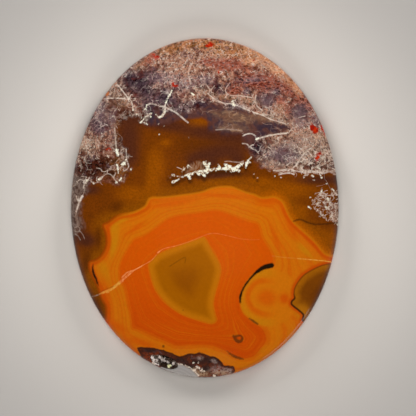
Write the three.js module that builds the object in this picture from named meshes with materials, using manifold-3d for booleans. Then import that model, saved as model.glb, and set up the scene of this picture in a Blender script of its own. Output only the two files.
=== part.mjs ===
// A polished oval cabochon of plume agate: a low dome on a nearly upright girdle, with a flat ground back and,
// low on the dome's shoulder, a small natural pocket lined with quartz crystals.
// Millimetres, +Z up. The origin is the middle of the flat back, and +Y runs along the oval towards the plumes.
import * as THREE from "three";
import { mergeVertices } from "three/addons/utils/BufferGeometryUtils.js";
import Module from "manifold-3d";

// Driving dimensions of the stone
const LENGTH = 38;
const WIDTH = 30;
const THICKNESS = 6;
const GIRDLE_TOP = 1.7; // height where the girdle turns into the dome
const GIRDLE_LEAN = 0.08; // how far the girdle leans in by its top
const BACK_BEVEL = 0.4; // narrow ground bevel round the back

// The dome's height is DOME * (1 - s ^ FULLNESS) ^ SHOULDER, where s runs from 0 on top to 1 at the girdle.
const DOME = THICKNESS - GIRDLE_TOP;
const FULLNESS = 2.3;
const SHOULDER = 0.8;

// Lengths as shares of the oval's mean radius, for a round profile that is stretched to the oval afterwards
const MEAN_RADIUS = (LENGTH + WIDTH) / 4;
const DOME_EDGE = 1 - GIRDLE_LEAN / MEAN_RADIUS;
const BACK_EDGE = 1 - BACK_BEVEL / MEAN_RADIUS;

const SEGMENTS = 96; // round the oval
const DOME_RINGS = 22;

// The crystal pocket, on the shoulder at the lower end
const POCKET_AT = [-4.55, -17.25]; // x and y of its middle
const POCKET_LENGTH = 3.2;
const POCKET_WIDTH = 1.5;
const POCKET_DEPTH = 0.75;
const POCKET_TURN = THREE.MathUtils.degToRad(-15); // its long axis against +X, seen from above
const POCKET_FACETS = 5; // how finely its wall is divided
const CRUST_GAP = 0.04; // the crust stands clear of the stone by this much
const CRUST_THICKNESS = 0.2;

// The pocket's wall is uneven: broad and fine lumps, each with its waves along x, y and z
const LUMPS = 0.12; // their height, as a share of the pocket's size
const FINE_LUMPS = 0.6; // the fine ones against the broad ones
const BROAD_WAVES = new THREE.Vector3(5, 4, 0);
const BROAD_SHIFT = 1.3;
const FINE_WAVES = new THREE.Vector3(9, -7, 5);

// Quartz crystals on the crust: six-sided, each with a pointed tip
const CRYSTALS = 40;
const CRYSTAL_SIDES = 6;
const CRYSTAL_WIDTH = [0.18, 0.4]; // narrowest and widest
const CRYSTAL_SLENDERNESS = 1.15; // height over width
const CRYSTAL_ROOT = 0.8; // where a crystal stands, as a share of the way from the pocket's middle to its wall
const CRYSTAL_REACH = 1.2; // how strongly crystals point out of the pocket
const CRYSTAL_TILT = 0.5; // how unevenly they lean
const TILT_STEPS = [7, 5]; // radians from one crystal to the next, for its lean along x and y
const WIDTH_STEP = 3.7; // the same for its width
const GOLDEN_ANGLE = Math.PI * (3 - Math.sqrt(5));

const wasm = await Module();
wasm.setup();

// A closed three.js geometry as a solid.
function solidOf(geometry) {
  const bare = geometry.index ? geometry.toNonIndexed() : geometry.clone();
  bare.deleteAttribute("normal");
  bare.deleteAttribute("uv");
  const merged = mergeVertices(bare, 1e-5);
  return new wasm.Manifold(
    new wasm.Mesh({
      numProp: 3,
      vertProperties: merged.attributes.position.array,
      triVerts: new Uint32Array(merged.index.array),
    }),
  );
}

// A solid as a flat-shaded three.js geometry.
function geometryOf(solid) {
  const mesh = solid.getMesh();
  const corners = new Float32Array(mesh.triVerts.length * 3);
  mesh.triVerts.forEach((vertex, i) => {
    const at = vertex * mesh.numProp;
    corners.set(mesh.vertProperties.subarray(at, at + 3), i * 3);
  });
  const geometry = new THREE.BufferGeometry();
  geometry.setAttribute("position", new THREE.BufferAttribute(corners, 3));
  geometry.computeVertexNormals();
  return geometry;
}

function domeHeight(s) {
  return GIRDLE_TOP + DOME * (1 - s ** FULLNESS) ** SHOULDER;
}

function domeHeightAt(x, y) {
  const s = Math.hypot(x / (WIDTH / 2), y / (LENGTH / 2)) / DOME_EDGE;
  return domeHeight(Math.min(1, s));
}

// The stone before the pocket opens in it: a round profile of radius 1, turned and then stretched to the oval.
function wholeStone() {
  const profile = [
    new THREE.Vector2(0, 0),
    new THREE.Vector2(BACK_EDGE, 0),
    new THREE.Vector2(1, BACK_BEVEL),
  ];
  for (let ring = 0; ring <= DOME_RINGS; ring++) {
    // Rings crowd together towards the girdle, where the dome curves most.
    const s = Math.sin((Math.PI / 2) * (1 - ring / DOME_RINGS));
    profile.push(new THREE.Vector2(DOME_EDGE * s, domeHeight(s)));
  }
  const turned = new THREE.LatheGeometry(profile, SEGMENTS);
  turned.rotateX(Math.PI / 2);
  turned.scale(WIDTH / 2, LENGTH / 2, 1);
  return turned;
}

// Where the pocket sits: on the dome's surface, with its own Z along the dome's outward normal.
function pocketFrame() {
  const [x, y] = POCKET_AT;
  const step = 0.01;
  const slopeX = (domeHeightAt(x + step, y) - domeHeightAt(x - step, y)) / (2 * step);
  const slopeY = (domeHeightAt(x, y + step) - domeHeightAt(x, y - step)) / (2 * step);
  const outward = new THREE.Vector3(-slopeX, -slopeY, 1).normalize();
  const along = new THREE.Vector3(Math.cos(POCKET_TURN), Math.sin(POCKET_TURN), 0);
  along.addScaledVector(outward, -along.dot(outward)).normalize();
  const across = new THREE.Vector3().crossVectors(outward, along);
  const frame = new THREE.Matrix4().makeBasis(along, across, outward);
  return frame.setPosition(x, y, domeHeightAt(x, y));
}

// How far the pocket's uneven wall is in a direction from its middle, as a share of the plain ellipsoid's.
function wallReach(direction) {
  const broad = Math.sin(BROAD_WAVES.x * direction.x + BROAD_SHIFT) * Math.cos(BROAD_WAVES.y * direction.y);
  const fine = Math.sin(FINE_WAVES.dot(direction));
  return 1 + LUMPS * (broad + FINE_LUMPS * fine);
}

// A point in a direction from the pocket's middle, at a share of the way to its wall, inset from the wall.
function towardsWall(direction, share, inset) {
  const reach = wallReach(direction) * share;
  return new THREE.Vector3(
    direction.x * reach * (POCKET_LENGTH / 2 - inset),
    direction.y * reach * (POCKET_WIDTH / 2 - inset),
    direction.z * reach * (POCKET_DEPTH - inset),
  );
}

// The pocket as a lumpy ellipsoid, smaller all round by inset, in the pocket's own frame.
function pocketShape(inset) {
  const ball = new THREE.IcosahedronGeometry(1, POCKET_FACETS);
  const position = ball.attributes.position;
  const direction = new THREE.Vector3();
  for (let i = 0; i < position.count; i++) {
    direction.fromBufferAttribute(position, i).normalize();
    position.setXYZ(i, ...towardsWall(direction, 1, inset));
  }
  return ball;
}

// One six-sided crystal with a pointed tip, standing along a direction at a place.
function crystal(width, direction, place) {
  const height = width * CRYSTAL_SLENDERNESS;
  const profile = [
    new THREE.Vector2(0, -width / 2),
    new THREE.Vector2(width / 2, -width / 2),
    new THREE.Vector2(width / 2, height / 2),
    new THREE.Vector2(0, height),
  ];
  const standing = new THREE.LatheGeometry(profile, CRYSTAL_SIDES).rotateX(Math.PI / 2);
  standing.applyQuaternion(new THREE.Quaternion().setFromUnitVectors(new THREE.Vector3(0, 0, 1), direction));
  return standing.translate(place.x, place.y, place.z);
}

// The crust that lines the pocket: a thin lumpy bowl with crystals all over it, joined in one solid.
function crystalCrust() {
  const wall = solidOf(pocketShape(CRUST_GAP));
  const hollow = solidOf(pocketShape(CRUST_GAP + CRUST_THICKNESS).translate(0, 0, CRUST_THICKNESS / 2));
  const [narrow, wide] = CRYSTAL_WIDTH;
  let crust = wall.subtract(hollow);
  for (let i = 0; i < CRYSTALS; i++) {
    // Sunflower spacing over the bowl's floor, which faces the open side
    const spread = Math.sqrt((i + 0.5) / CRYSTALS);
    const turn = i * GOLDEN_ANGLE;
    const floor = new THREE.Vector3(
      spread * Math.cos(turn),
      spread * Math.sin(turn),
      -Math.sqrt(1 - spread * spread),
    );
    const outward = new THREE.Vector3(
      CRYSTAL_TILT * Math.sin(TILT_STEPS[0] * i) - floor.x,
      CRYSTAL_TILT * Math.cos(TILT_STEPS[1] * i) - floor.y,
      CRYSTAL_REACH,
    ).normalize();
    const width = narrow + ((wide - narrow) * (1 + Math.sin(WIDTH_STEP * i))) / 2;
    const standing = crystal(width, outward, towardsWall(floor, CRYSTAL_ROOT, 0));
    crust = crust.add(solidOf(standing).intersect(wall));
  }
  return geometryOf(crust);
}

const stone = solidOf(wholeStone());
const pocketPlace = pocketFrame();
const pocket = solidOf(pocketShape(0).applyMatrix4(pocketPlace));
// The crust ends where the polished surface cuts across the pocket.
const crust = solidOf(crystalCrust().applyMatrix4(pocketPlace)).intersect(stone);

const agate = new THREE.MeshStandardMaterial({ color: 0xb85a10, roughness: 0.12, metalness: 0 });
const quartz = new THREE.MeshStandardMaterial({ color: 0xd9cdbf, roughness: 0.25, metalness: 0 });

const stoneMesh = new THREE.Mesh(geometryOf(stone.subtract(pocket)), agate);
stoneMesh.name = "agate_stone";
const crustMesh = new THREE.Mesh(geometryOf(crust), quartz);
crustMesh.name = "crystal_crust";

const cabochon = new THREE.Group();
cabochon.add(stoneMesh, crustMesh);

export default cabochon;
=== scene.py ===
# A polished oval cabochon of plume agate on a pale floor, seen from straight above.
# Metres, +Z up: the stone lies on its flat back, and +Y runs along the oval towards the plumes.
# Its markings start as outlines and strokes, given in pixels of the photograph. They become fields
# at the mesh's vertices, such as the distance from an outline, and the material turns them into colour.
import math

import bpy
import numpy as np
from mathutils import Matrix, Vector, kdtree


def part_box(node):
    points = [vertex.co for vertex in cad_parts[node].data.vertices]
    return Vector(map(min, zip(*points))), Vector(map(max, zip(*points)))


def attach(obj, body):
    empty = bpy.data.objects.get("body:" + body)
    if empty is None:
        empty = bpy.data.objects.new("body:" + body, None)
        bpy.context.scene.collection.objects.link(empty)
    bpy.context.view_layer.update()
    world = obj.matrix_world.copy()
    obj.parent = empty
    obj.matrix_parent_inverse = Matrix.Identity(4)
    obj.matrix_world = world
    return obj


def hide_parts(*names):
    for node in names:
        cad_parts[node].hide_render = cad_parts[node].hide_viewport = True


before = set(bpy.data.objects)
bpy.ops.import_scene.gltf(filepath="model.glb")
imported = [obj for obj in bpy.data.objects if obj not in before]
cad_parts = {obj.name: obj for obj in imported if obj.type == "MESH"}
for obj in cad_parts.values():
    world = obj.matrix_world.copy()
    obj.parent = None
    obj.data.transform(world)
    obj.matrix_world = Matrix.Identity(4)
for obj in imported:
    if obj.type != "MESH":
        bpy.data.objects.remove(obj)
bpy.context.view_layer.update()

# The stone, as built: its box gives length, width and thickness.
stone_low, stone_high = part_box("agate_stone")
LENGTH = stone_high.y - stone_low.y
WIDTH = stone_high.x - stone_low.x
THICKNESS = stone_high.z - stone_low.z
GIRDLE_TOP = 0.0017  # height where the girdle turns into the dome
GIRDLE_LEAN = 0.00008  # how far the girdle leans in by its top
BACK_BEVEL = 0.0004
FULLNESS = 2.3  # how flat the dome is on top
SHOULDER = 0.8  # and how steep near the girdle
MEAN_RADIUS = (LENGTH + WIDTH) / 4
DOME_EDGE = 1 - GIRDLE_LEAN / MEAN_RADIUS
BACK_EDGE = 1 - BACK_BEVEL / MEAN_RADIUS

# The crystal pocket on the dome's shoulder
POCKET_AT = (-0.00455, -0.01725)
POCKET_LENGTH = 0.0032
POCKET_WIDTH = 0.0015
POCKET_DEPTH = 0.00075
POCKET_TURN = math.radians(-15)

# The photograph: 416 pixels square, with the oval's middle and length in pixels
PHOTO_SIDE = 416
OVAL_MIDDLE = (204.84, 207.80)
OVAL_PIXELS = 340.2
PIXEL = LENGTH / OVAL_PIXELS  # metres that a photograph pixel spans at the girdle
CAMERA_HEIGHT = 1.0
SENSOR = 36.0

COLUMNS = 260  # faces across the dome
ROWS = 328  # faces along it
RIM_CROWDING = 0.7  # how much closer together they get towards its rim
RIM_CROWDED = 0.02  # and over what share of the radius
GIRDLE_STEPS = 5
BACK_STEP = 4  # one face of the back for so many of the dome's, each way

# Where the texture holds each side: left, width, low and height. The girdle runs up its left margin.
DOME_MAP = (0.210, 0.784, 0.005, 0.990)
BACK_MAP = (0.045, 0.150, 0.025, 0.950)
GIRDLE_MAP = 0.035

# The finish of the stone and its crystals
QUARTZ_IOR = 1.54
AGATE_SPECULAR = 0.36
SCRATCH_STRENGTH = 0.25  # of the relief on the ground back and girdle
SCRATCH_DEPTH = 0.00003

# The room: its colour at the horizon and overhead, and heights between the two with their tones
HORIZON = (0.34, 0.33, 0.31)
OVERHEAD = (0.002, 0.002, 0.002)
ROOM_TONES = ((0.06, 0.20), (0.14, 0.07), (0.30, 0.02))
DARK_FROM = 0.80  # the height from which it is as dark as overhead
FLOOR_SIZE = 3.0
FLOOR_GAP = 0.00002  # between the floor and the stone's back, so that the two don't coincide

# How the markings are measured and grown, in photograph pixels where they are lengths
SEED = 7
PATCH_COVER = 0.95  # at a patch's middle
PATCH_EDGE = 1.4  # how steeply a patch ends
STROKE_REACH = 8  # how far round a stroke its distance is exact
STROKE_FAR = 20  # the largest distance kept
FIBRE_FAR = 30  # the same for fibres, in half-widths
GROWTH_SCALE = 40  # for a rise of 1 in the growth, outside the nodule and in its eye
SAMPLE_GAP = 0.3  # between the points by which the nearest fibre is found
FIBRE_STEP = 1.5  # between a random fibre's points
FORKED_SHARE = 0.35  # of the random fibres
USUAL_DENSITY = 0.55  # of the fine threads, from 0 to 1
SPARSE_LOSS = 0.5
DENSE_GAIN = 0.4
TOOTH_GAP = 4.0  # between the coral's short branches along its stems
HANGING_SHARE = 0.65  # of those branches
# The coral's painted shadow lies this far below it
CAST_DROP = 3.2  # from the coral down to its shade
CAST_RISE = 3.4  # from a branch that stands up down to its stem
RING_SQUEEZE = 0.88  # across, so that the lobe's rings are wider than tall


# Camera and light

def make_camera():
    data = bpy.data.cameras.new("photo_camera")
    data.sensor_width = SENSOR
    data.lens = SENSOR * CAMERA_HEIGHT / (PHOTO_SIDE * PIXEL)
    data.clip_end = 20
    camera = bpy.data.objects.new("photo_camera", data)
    camera.location = (*camera_spot(), CAMERA_HEIGHT + GIRDLE_TOP)
    bpy.context.collection.objects.link(camera)
    bpy.context.scene.camera = camera


def camera_spot():
    """Where the photograph's middle lies on the floor."""
    x = (PHOTO_SIDE / 2 - OVAL_MIDDLE[0]) * PIXEL
    y = (OVAL_MIDDLE[1] - PHOTO_SIDE / 2) * PIXEL
    return x, y


def place_light(data, azimuth, zenith, distance, mirrored):
    """Turns a light to the stone. Azimuth 0 is over the stone's top end, and turns clockwise."""
    light = bpy.data.objects.new(data.name, data)
    turn = math.radians(azimuth)
    lean = math.radians(zenith)
    flat = distance * math.sin(lean)
    light.location = (flat * math.sin(turn), flat * math.cos(turn), distance * math.cos(lean))
    light.rotation_euler = Vector(light.location).to_track_quat("Z", "Y").to_euler()
    light.visible_glossy = mirrored
    light.visible_diffuse = not mirrored
    light.visible_camera = False
    bpy.context.collection.objects.link(light)


def softbox(name, azimuth, zenith, distance, size, power, mirrored=False):
    """An area light. The ones that light the stone aren't mirrored in it, as behind crossed polarisers."""
    data = bpy.data.lights.new(name, "AREA")
    data.shape = "RECTANGLE"
    data.size, data.size_y = size
    data.energy = power
    place_light(data, azimuth, zenith, distance, mirrored)


def make_lights():
    softbox("softbox_right", 38, 66, 0.60, (0.24, 0.24), 2.25)
    softbox("softbox_left", -38, 66, 0.60, (0.24, 0.24), 2.25)
    softbox("softbox_low", 180, 62, 0.60, (0.30, 0.30), 2.0)
    softbox("softbox_above", 0, 0, 1.30, (0.80, 0.80), 5.9)
    softbox("strip_front", 135, 87, 0.50, (0.24, 0.045), 0.06, mirrored=True)
    softbox("strip_back", -45, 87, 0.50, (0.24, 0.045), 0.06, mirrored=True)


def make_surroundings():
    """A room that is pale at the horizon and dark overhead, so that the polish mirrors little from above."""
    world = bpy.data.worlds.new("studio")
    bpy.context.scene.world = world
    world.use_nodes = True
    nodes, links = world.node_tree.nodes, world.node_tree.links
    background = nodes["Background"]
    place = nodes.new("ShaderNodeTexCoord")
    split = nodes.new("ShaderNodeSeparateXYZ")
    shade = nodes.new("ShaderNodeValToRGB")
    ramp = shade.color_ramp
    ramp.elements[0].color = (*HORIZON, 1)
    ramp.elements[1].position = DARK_FROM
    ramp.elements[1].color = (*OVERHEAD, 1)
    for height, tone in ROOM_TONES:
        ramp.elements.new(height).color = (tone, tone * 0.97, tone * 0.94, 1)
    links.new(place.outputs["Generated"], split.inputs[0])
    links.new(split.outputs["Z"], shade.inputs[0])
    links.new(shade.outputs[0], background.inputs["Color"])


# Outlines and strokes, in photograph pixels

# The orange nodule: its wall, the red region in it and the olive eye in that, each clockwise from the left
NODULE_WALL = [
    (89, 262), (95.5, 259.5), (101, 255), (105, 247.5), (106, 240.5), (105, 233), (102.5, 225),
    (108.5, 221.5), (114.5, 217), (121, 214), (132, 212), (139.5, 209), (145, 205.5), (148, 199.5),
    (152, 197), (161, 196.8), (175, 195.5), (199.5, 192), (209.5, 188.5), (217, 186.7), (226, 186),
    (233.5, 187), (246, 192), (254.5, 194), (261, 197), (267, 197), (273.5, 196), (279.5, 198.5),
    (284, 202.5), (289, 214), (294, 221.5), (301, 228), (315, 241), (323.5, 251), (328, 254), (334, 255),
    (352, 256), (352, 400), (80, 400), (92, 326), (103, 322), (105.5, 315), (105, 306), (101, 299),
    (97, 287), (89.5, 271.5),
]
RED_REGION = [
    (119.5, 273), (121, 262), (131, 243), (135.5, 238.5), (142, 236), (151, 231), (168, 219), (179.5, 215),
    (194, 213), (216, 210.5), (229, 214), (248, 220), (257.5, 223), (260.5, 229.5), (262, 237),
    (272.5, 253.5), (274, 260), (272, 265.5), (261, 269.5), (251.5, 276), (245, 285), (240.5, 294.5),
    (240.5, 304), (242.5, 311.5), (249, 318.5), (263.5, 329), (266.5, 336), (266, 342.5), (257, 354.5),
    (250, 358.5), (243.5, 359.5), (235, 357), (220.5, 349), (211, 346), (194, 345.5), (177.5, 346),
    (168, 343), (139, 330.5), (132.5, 328), (130.5, 318), (125, 289.5), (120.5, 281),
]
EYE = [
    (149, 266.5), (152, 261), (159.5, 254), (175, 247.5), (199, 239), (204.5, 238), (209.5, 246.5),
    (218, 261), (220.5, 268.5), (219.5, 277), (214.5, 295), (213, 304), (214.5, 313.5), (216, 320.5),
    (211, 323.5), (201.5, 321), (187, 316.5), (177.5, 311.5), (168, 304.5), (159, 294.5), (153.5, 284.5),
]
# The olive nodule at the right rim
SIDE_NODULE = [
    (352, 262), (333, 263.3), (326, 264.4), (318.7, 266.7), (306.2, 273.4), (299.5, 280), (295, 287.7),
    (294, 294), (294.7, 298.2), (292, 301), (291.4, 303.6), (293.3, 306), (303.3, 314.5), (304.2, 322),
    (330, 330), (360, 300),
]
RING_MIDDLE = (267, 297.5)  # of the rings in the lobe beside the crescent
RED_KNOT_AT = (284.5, 298.5)  # a small red-orange knot between those rings and the side nodule
# Painted shade in the crystal pocket's hollow, and a painted glint on one crystal:
HOLLOW_SHADE_AT = (165, 364.4)  # the dark middle of the crystal pocket
GLINT_AT = (169, 365.8)
BRIGHT_CRYSTALS = [
    (152.2, 357.2), (153.8, 359.8), (156.6, 360.4), (159.8, 357.2), (161.8, 359.4), (164.4, 361),
    (167.4, 362), (153.4, 362.6), (155.6, 364), (158.2, 365.2), (173.4, 363.2),
]

# Where plumes fill the stone, clockwise from the left rim, with margins outside the oval
PLUMES = [
    (60, 190), (79, 186), (90, 184), (104, 181), (121, 184), (129, 170), (127, 155), (122, 142), (116, 129),
    (124, 121), (134, 117), (146, 121), (152, 112), (162, 110), (176, 113), (190, 113), (202, 108),
    (211, 104), (226, 106), (243, 108.5), (262, 115.5), (275, 121), (291, 127), (284, 133.5), (266, 137),
    (255, 141), (250, 149), (252, 157), (257, 165), (266, 168), (275, 171), (305, 170.6), (334, 171),
    (356, 171), (356, 24), (52, 24),
]
# The purple chalcedony between the plumes and the brown body
PURPLE_BAND = [
    (146, 121), (152, 108), (166, 105), (180, 108), (196, 104), (209, 92), (243, 106), (276, 119),
    (293, 128), (284, 134), (263, 139), (262, 150), (254, 154), (246, 144), (240, 136), (224, 133),
    (210, 131), (205, 122), (188, 120), (170, 122), (157, 124),
]
LEFT_HAZE = [(62, 176), (84, 178), (88, 190), (82, 204), (81, 220), (83, 228), (60, 234)]
# The dark pocket zone at the bottom, and the grey chalcedony under it
POCKET_ZONE = [
    (137, 348.5), (143.5, 347), (158, 348.5), (168, 351.6), (172, 353), (175.6, 355), (180, 356),
    (184.7, 355), (189.6, 353.3), (196, 353.3), (201, 352.5), (209.3, 356), (213.5, 356.5), (217.7, 358.6),
    (222, 362), (224.4, 365.6), (232, 366), (234.6, 368), (235.4, 371), (233, 373.7), (228, 384),
    (180, 392), (140, 372), (142, 358),
]
GREY_LENS = [
    (160.5, 367.6), (166, 367.6), (171.5, 365), (176, 364.3), (180.5, 364.8), (185, 366.3), (189.5, 368.6),
    (193.5, 371.6), (196.5, 374.8), (198.5, 378), (196, 390), (165, 384),
]

# Soft patches of a hue: middle, reach across and along, and the turn in degrees of those that are turned
POCKET_PALE = [(202, 374, 7, 3), (195, 371, 4, 3, 30), (222, 373, 8, 2)]
POCKET_GREY = [(219, 370, 9, 4), (228, 371, 5, 3), (200, 358, 3, 2), (214, 361, 4, 2, 30)]
POCKET_DARK = [
    (166, 358, 9, 3, 12), (180, 360, 10, 4), (206, 369, 6, 4), (190, 366, 8, 3, 20), (150, 351, 10, 2),
    (196, 362, 5, 3), (224, 363, 8, 3, 30), (208, 360, 14, 4, 6),
]
DARK_PURPLE = [
    (136, 82, 15, 10, -25), (128, 76, 8, 6, -40), (160, 118, 13, 8, 25), (182, 110, 12, 7, 10),
    (199, 104, 13, 5), (212, 119, 7, 5), (236, 107, 12, 4, 14), (258, 132, 12, 6, -10),
    (257, 148, 8, 8, 20), (276, 92, 5, 4), (217, 87, 5, 4), (166, 100, 9, 5), (165, 92, 8, 5),
    (150, 108, 10, 5, 20), (146, 90, 9, 6),
]
MAUVE = [
    (267, 100, 9, 8, 20), (300, 112, 10, 9, 20), (184, 84, 12, 8), (98, 118, 10, 8, -60),
    (143, 82, 6, 5, -30), (280, 152, 16, 7, -20), (204, 80, 12, 6), (247, 92, 4, 4), (316, 120, 6, 8, -20),
    (100, 108, 6, 8, 30), (226, 122, 12, 5), (252, 80, 12, 3, -6), (170, 78, 10, 6), (290, 158, 14, 6, -14),
    (302, 124, 8, 5), (112, 118, 5, 8), (100, 127, 10, 8), (158, 99, 22, 8, 6), (156, 78, 13, 8),
]
RUST = [
    (252, 80, 20, 9), (234, 90, 8, 6), (278, 84, 13, 9, 40), (280, 100, 7, 5, 20), (300, 98, 9, 8, 50),
    (226, 66, 14, 6), (147, 62, 6, 4, -35), (240, 64, 16, 6, 10), (266, 88, 10, 6), (210, 62, 10, 4),
    (292, 90, 6, 8, 50), (153, 56, 8, 3, 30), (310, 106, 6, 8, 60), (288, 108, 5, 6), (304, 94, 7, 10, -30),
]
PEACH = [
    (268, 60, 15, 6, 38), (281, 72, 14, 6, 45), (252, 52, 14, 6, 25), (297, 87, 11, 5, 52),
    (190, 47, 12, 3, -12), (226, 45, 16, 3, 8), (250, 61, 9, 5, 10), (240, 118, 10, 3, 10),
    (318, 138, 8, 8),
]
TAN = [
    (236, 117, 22, 5, 8), (262, 117, 12, 4, 14), (234, 128, 14, 4, 4), (282, 107, 8, 5),
    (226, 97, 14, 3, 8), (252, 101, 12, 3, 10), (118, 96, 5, 4), (86, 146, 7, 6), (117, 138, 3, 14),
    (284, 162, 20, 6), (270, 158, 12, 7), (117, 124, 4, 4), (300, 150, 20, 10), (140, 66, 10, 4, -35),
    (180, 48, 26, 5, -14), (222, 46, 22, 5, 6), (312, 140, 16, 14), (122, 104, 7, 4),
]
MAROON = [
    (128, 135, 13, 19), (128, 118, 12, 8, 10), (139, 119, 9, 5), (130, 155, 9, 13), (88, 168, 14, 14),
    (80, 236, 12, 8, 30), (86, 240, 9, 6, 10), (222, 152, 34, 9, -8), (236, 136, 26, 8), (322, 180, 26, 5),
    (218, 175, 24, 3.6, -4), (101, 165, 12, 8), (168, 112, 16, 5, 10), (90, 190, 10, 5),
    (150, 118, 14, 7, 12), (168, 125, 26, 7, 4), (212, 162, 7, 5), (202, 156, 14, 4, -6),
    (191, 162, 5, 4, -40), (206, 132, 26, 7, 3), (237, 158, 8, 6), (111, 173, 6, 4),
]
AMBER = [
    (156, 166, 10, 20), (197, 124, 10, 6, -10), (152, 184, 6, 18), (166, 143, 6, 4), (300, 212, 9, 8),
    (238, 187, 34, 3, 6), (153, 188, 8, 7), (290, 190, 26, 10), (312, 234, 18, 11, 20),
    (262, 182, 18, 5, 6), (132, 194, 16, 9), (330, 240, 10, 10),
]
SHADE = [
    (116, 207, 8, 5, -20), (86, 262, 5, 14, 10), (96, 306, 8, 14, -20), (98, 238, 3.4, 12),
    (238, 140, 20, 8), (200, 146, 26, 10),
]
# In the nodule's ochre: yellow-olive parts, and soft red-orange glows along the growth
YELLOW = [
    (114, 228, 5, 9, 20), (114, 244, 4, 14, 12), (122, 219, 8, 4, -30), (304, 250, 12, 3, 45),
    (256, 352, 12, 3, -30), (219, 284, 2, 24, 8), (104, 272, 5, 14, -14), (302, 311, 8, 8),
]
RED_GLOW = [
    (172, 204, 26, 3, -8), (224, 196, 26, 2.4, 4), (268, 202, 12, 4), (290, 218, 16, 3.4, 52),
    (312, 242, 18, 3.4, 45), (292, 230, 12, 3, 60), (106, 300, 5, 26, -6), (116, 326, 14, 5, 30),
    (140, 342, 18, 4, 14), (108, 234, 2.4, 14, 6), (276, 240, 3, 16, -18), (284.5, 298.5, 6, 6),
    (136, 228, 12, 2.4, -36), (99, 252, 2.4, 10, 40),
]
# Where fine growth lines show in the red
LINED = [
    (226, 284, 9, 36, 4), (180, 334, 46, 9, 8), (236, 330, 14, 14), (126, 300, 6, 24, -6),
    (252, 344, 12, 10),
]
# Where threads are few, and where they are thickest
SPARSE = [
    (96, 172, 30, 14), (136, 82, 14, 9, -25), (258, 132, 12, 5, -10), (256, 148, 8, 7),
    (180, 118, 26, 6, 10), (267, 100, 9, 7, 20), (300, 112, 8, 7, 20), (206, 106, 12, 3), (210, 120, 14, 6),
    (250, 84, 16, 5), (284, 152, 12, 5, -20), (125, 134, 9, 14), (118, 108, 8, 5), (218, 88, 8, 6),
    (99, 126, 11, 8), (256, 162, 8, 7), (318, 163, 24, 8), (156, 100, 24, 8, 4), (116, 169, 15, 11),
    (150, 76, 12, 9, -20),
]
DENSE = [
    (178, 73, 18, 9), (86, 144, 8, 7), (154, 60, 8, 5, -30), (280, 108, 8, 8), (270, 66, 22, 8, 42),
    (220, 60, 30, 10), (302, 134, 20, 9, 20), (294, 146, 14, 6), (304, 158, 10, 6), (321, 159, 9, 6),
]
# Where threads are cream, golden and dim, and where a lilac mist lies over them
CREAM = [
    (116, 92, 15, 9), (88, 145, 10, 8), (116, 146, 6, 8), (284, 152, 26, 14), (314, 152, 20, 16),
    (316, 166, 26, 7), (274, 118, 16, 4, 16), (104, 108, 12, 9), (200, 88, 9, 6), (80, 182, 8, 8),
    (325, 205, 16, 18),
]
GOLD = [
    (176, 48, 18, 5, -14), (228, 51, 26, 6, 8), (202, 44, 22, 4), (116, 122, 5, 4), (270, 57, 12, 4, 36),
    (115, 169, 14, 10), (122, 166, 8, 12),
]
DIM = [
    (116, 114, 14, 14), (262, 58, 16, 6, 34), (286, 79, 12, 5, 48), (112, 148, 11, 10), (116, 171, 12, 8),
    (293, 175, 12, 5), (106, 118, 8, 8), (145, 69, 6, 5, -30), (300, 112, 9, 8, 20), (267, 100, 8, 7, 20),
    (286, 152, 14, 7, -15), (255, 162, 7, 7),
]
MIST = [(324, 204, 5, 4, 20), (332, 208, 4, 6), (312, 140, 20, 8), (290, 146, 14, 6), (296, 120, 8, 6)]

# Where a look comes in, from the first value to the second, across or down the photograph
HALO_GLOW_ACROSS = (236, 276)
WHITER_CORAL_ACROSS = (197, 206)
WALL_LINE_DOWN = (186, 214)
WALL_PALE_ACROSS = (112, 134)
WALL_DARK_ACROSS = (134, 112)
RED_DEEP_DOWN = (250, 340)
EYE_DARK_DOWN = (252, 284)
LOBE_YELLOW_ACROSS = (282, 262)
LOBE_ARC_ACROSS = (280, 258)
SIDE_BLACK_DOWN = (291, 300)
# The floor's painted pool of light round the stone fades out between these distances
PAINTED_FLOOR_FALLOFF_AWAY = (120, 310)  # outwards from the stone's middle

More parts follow.
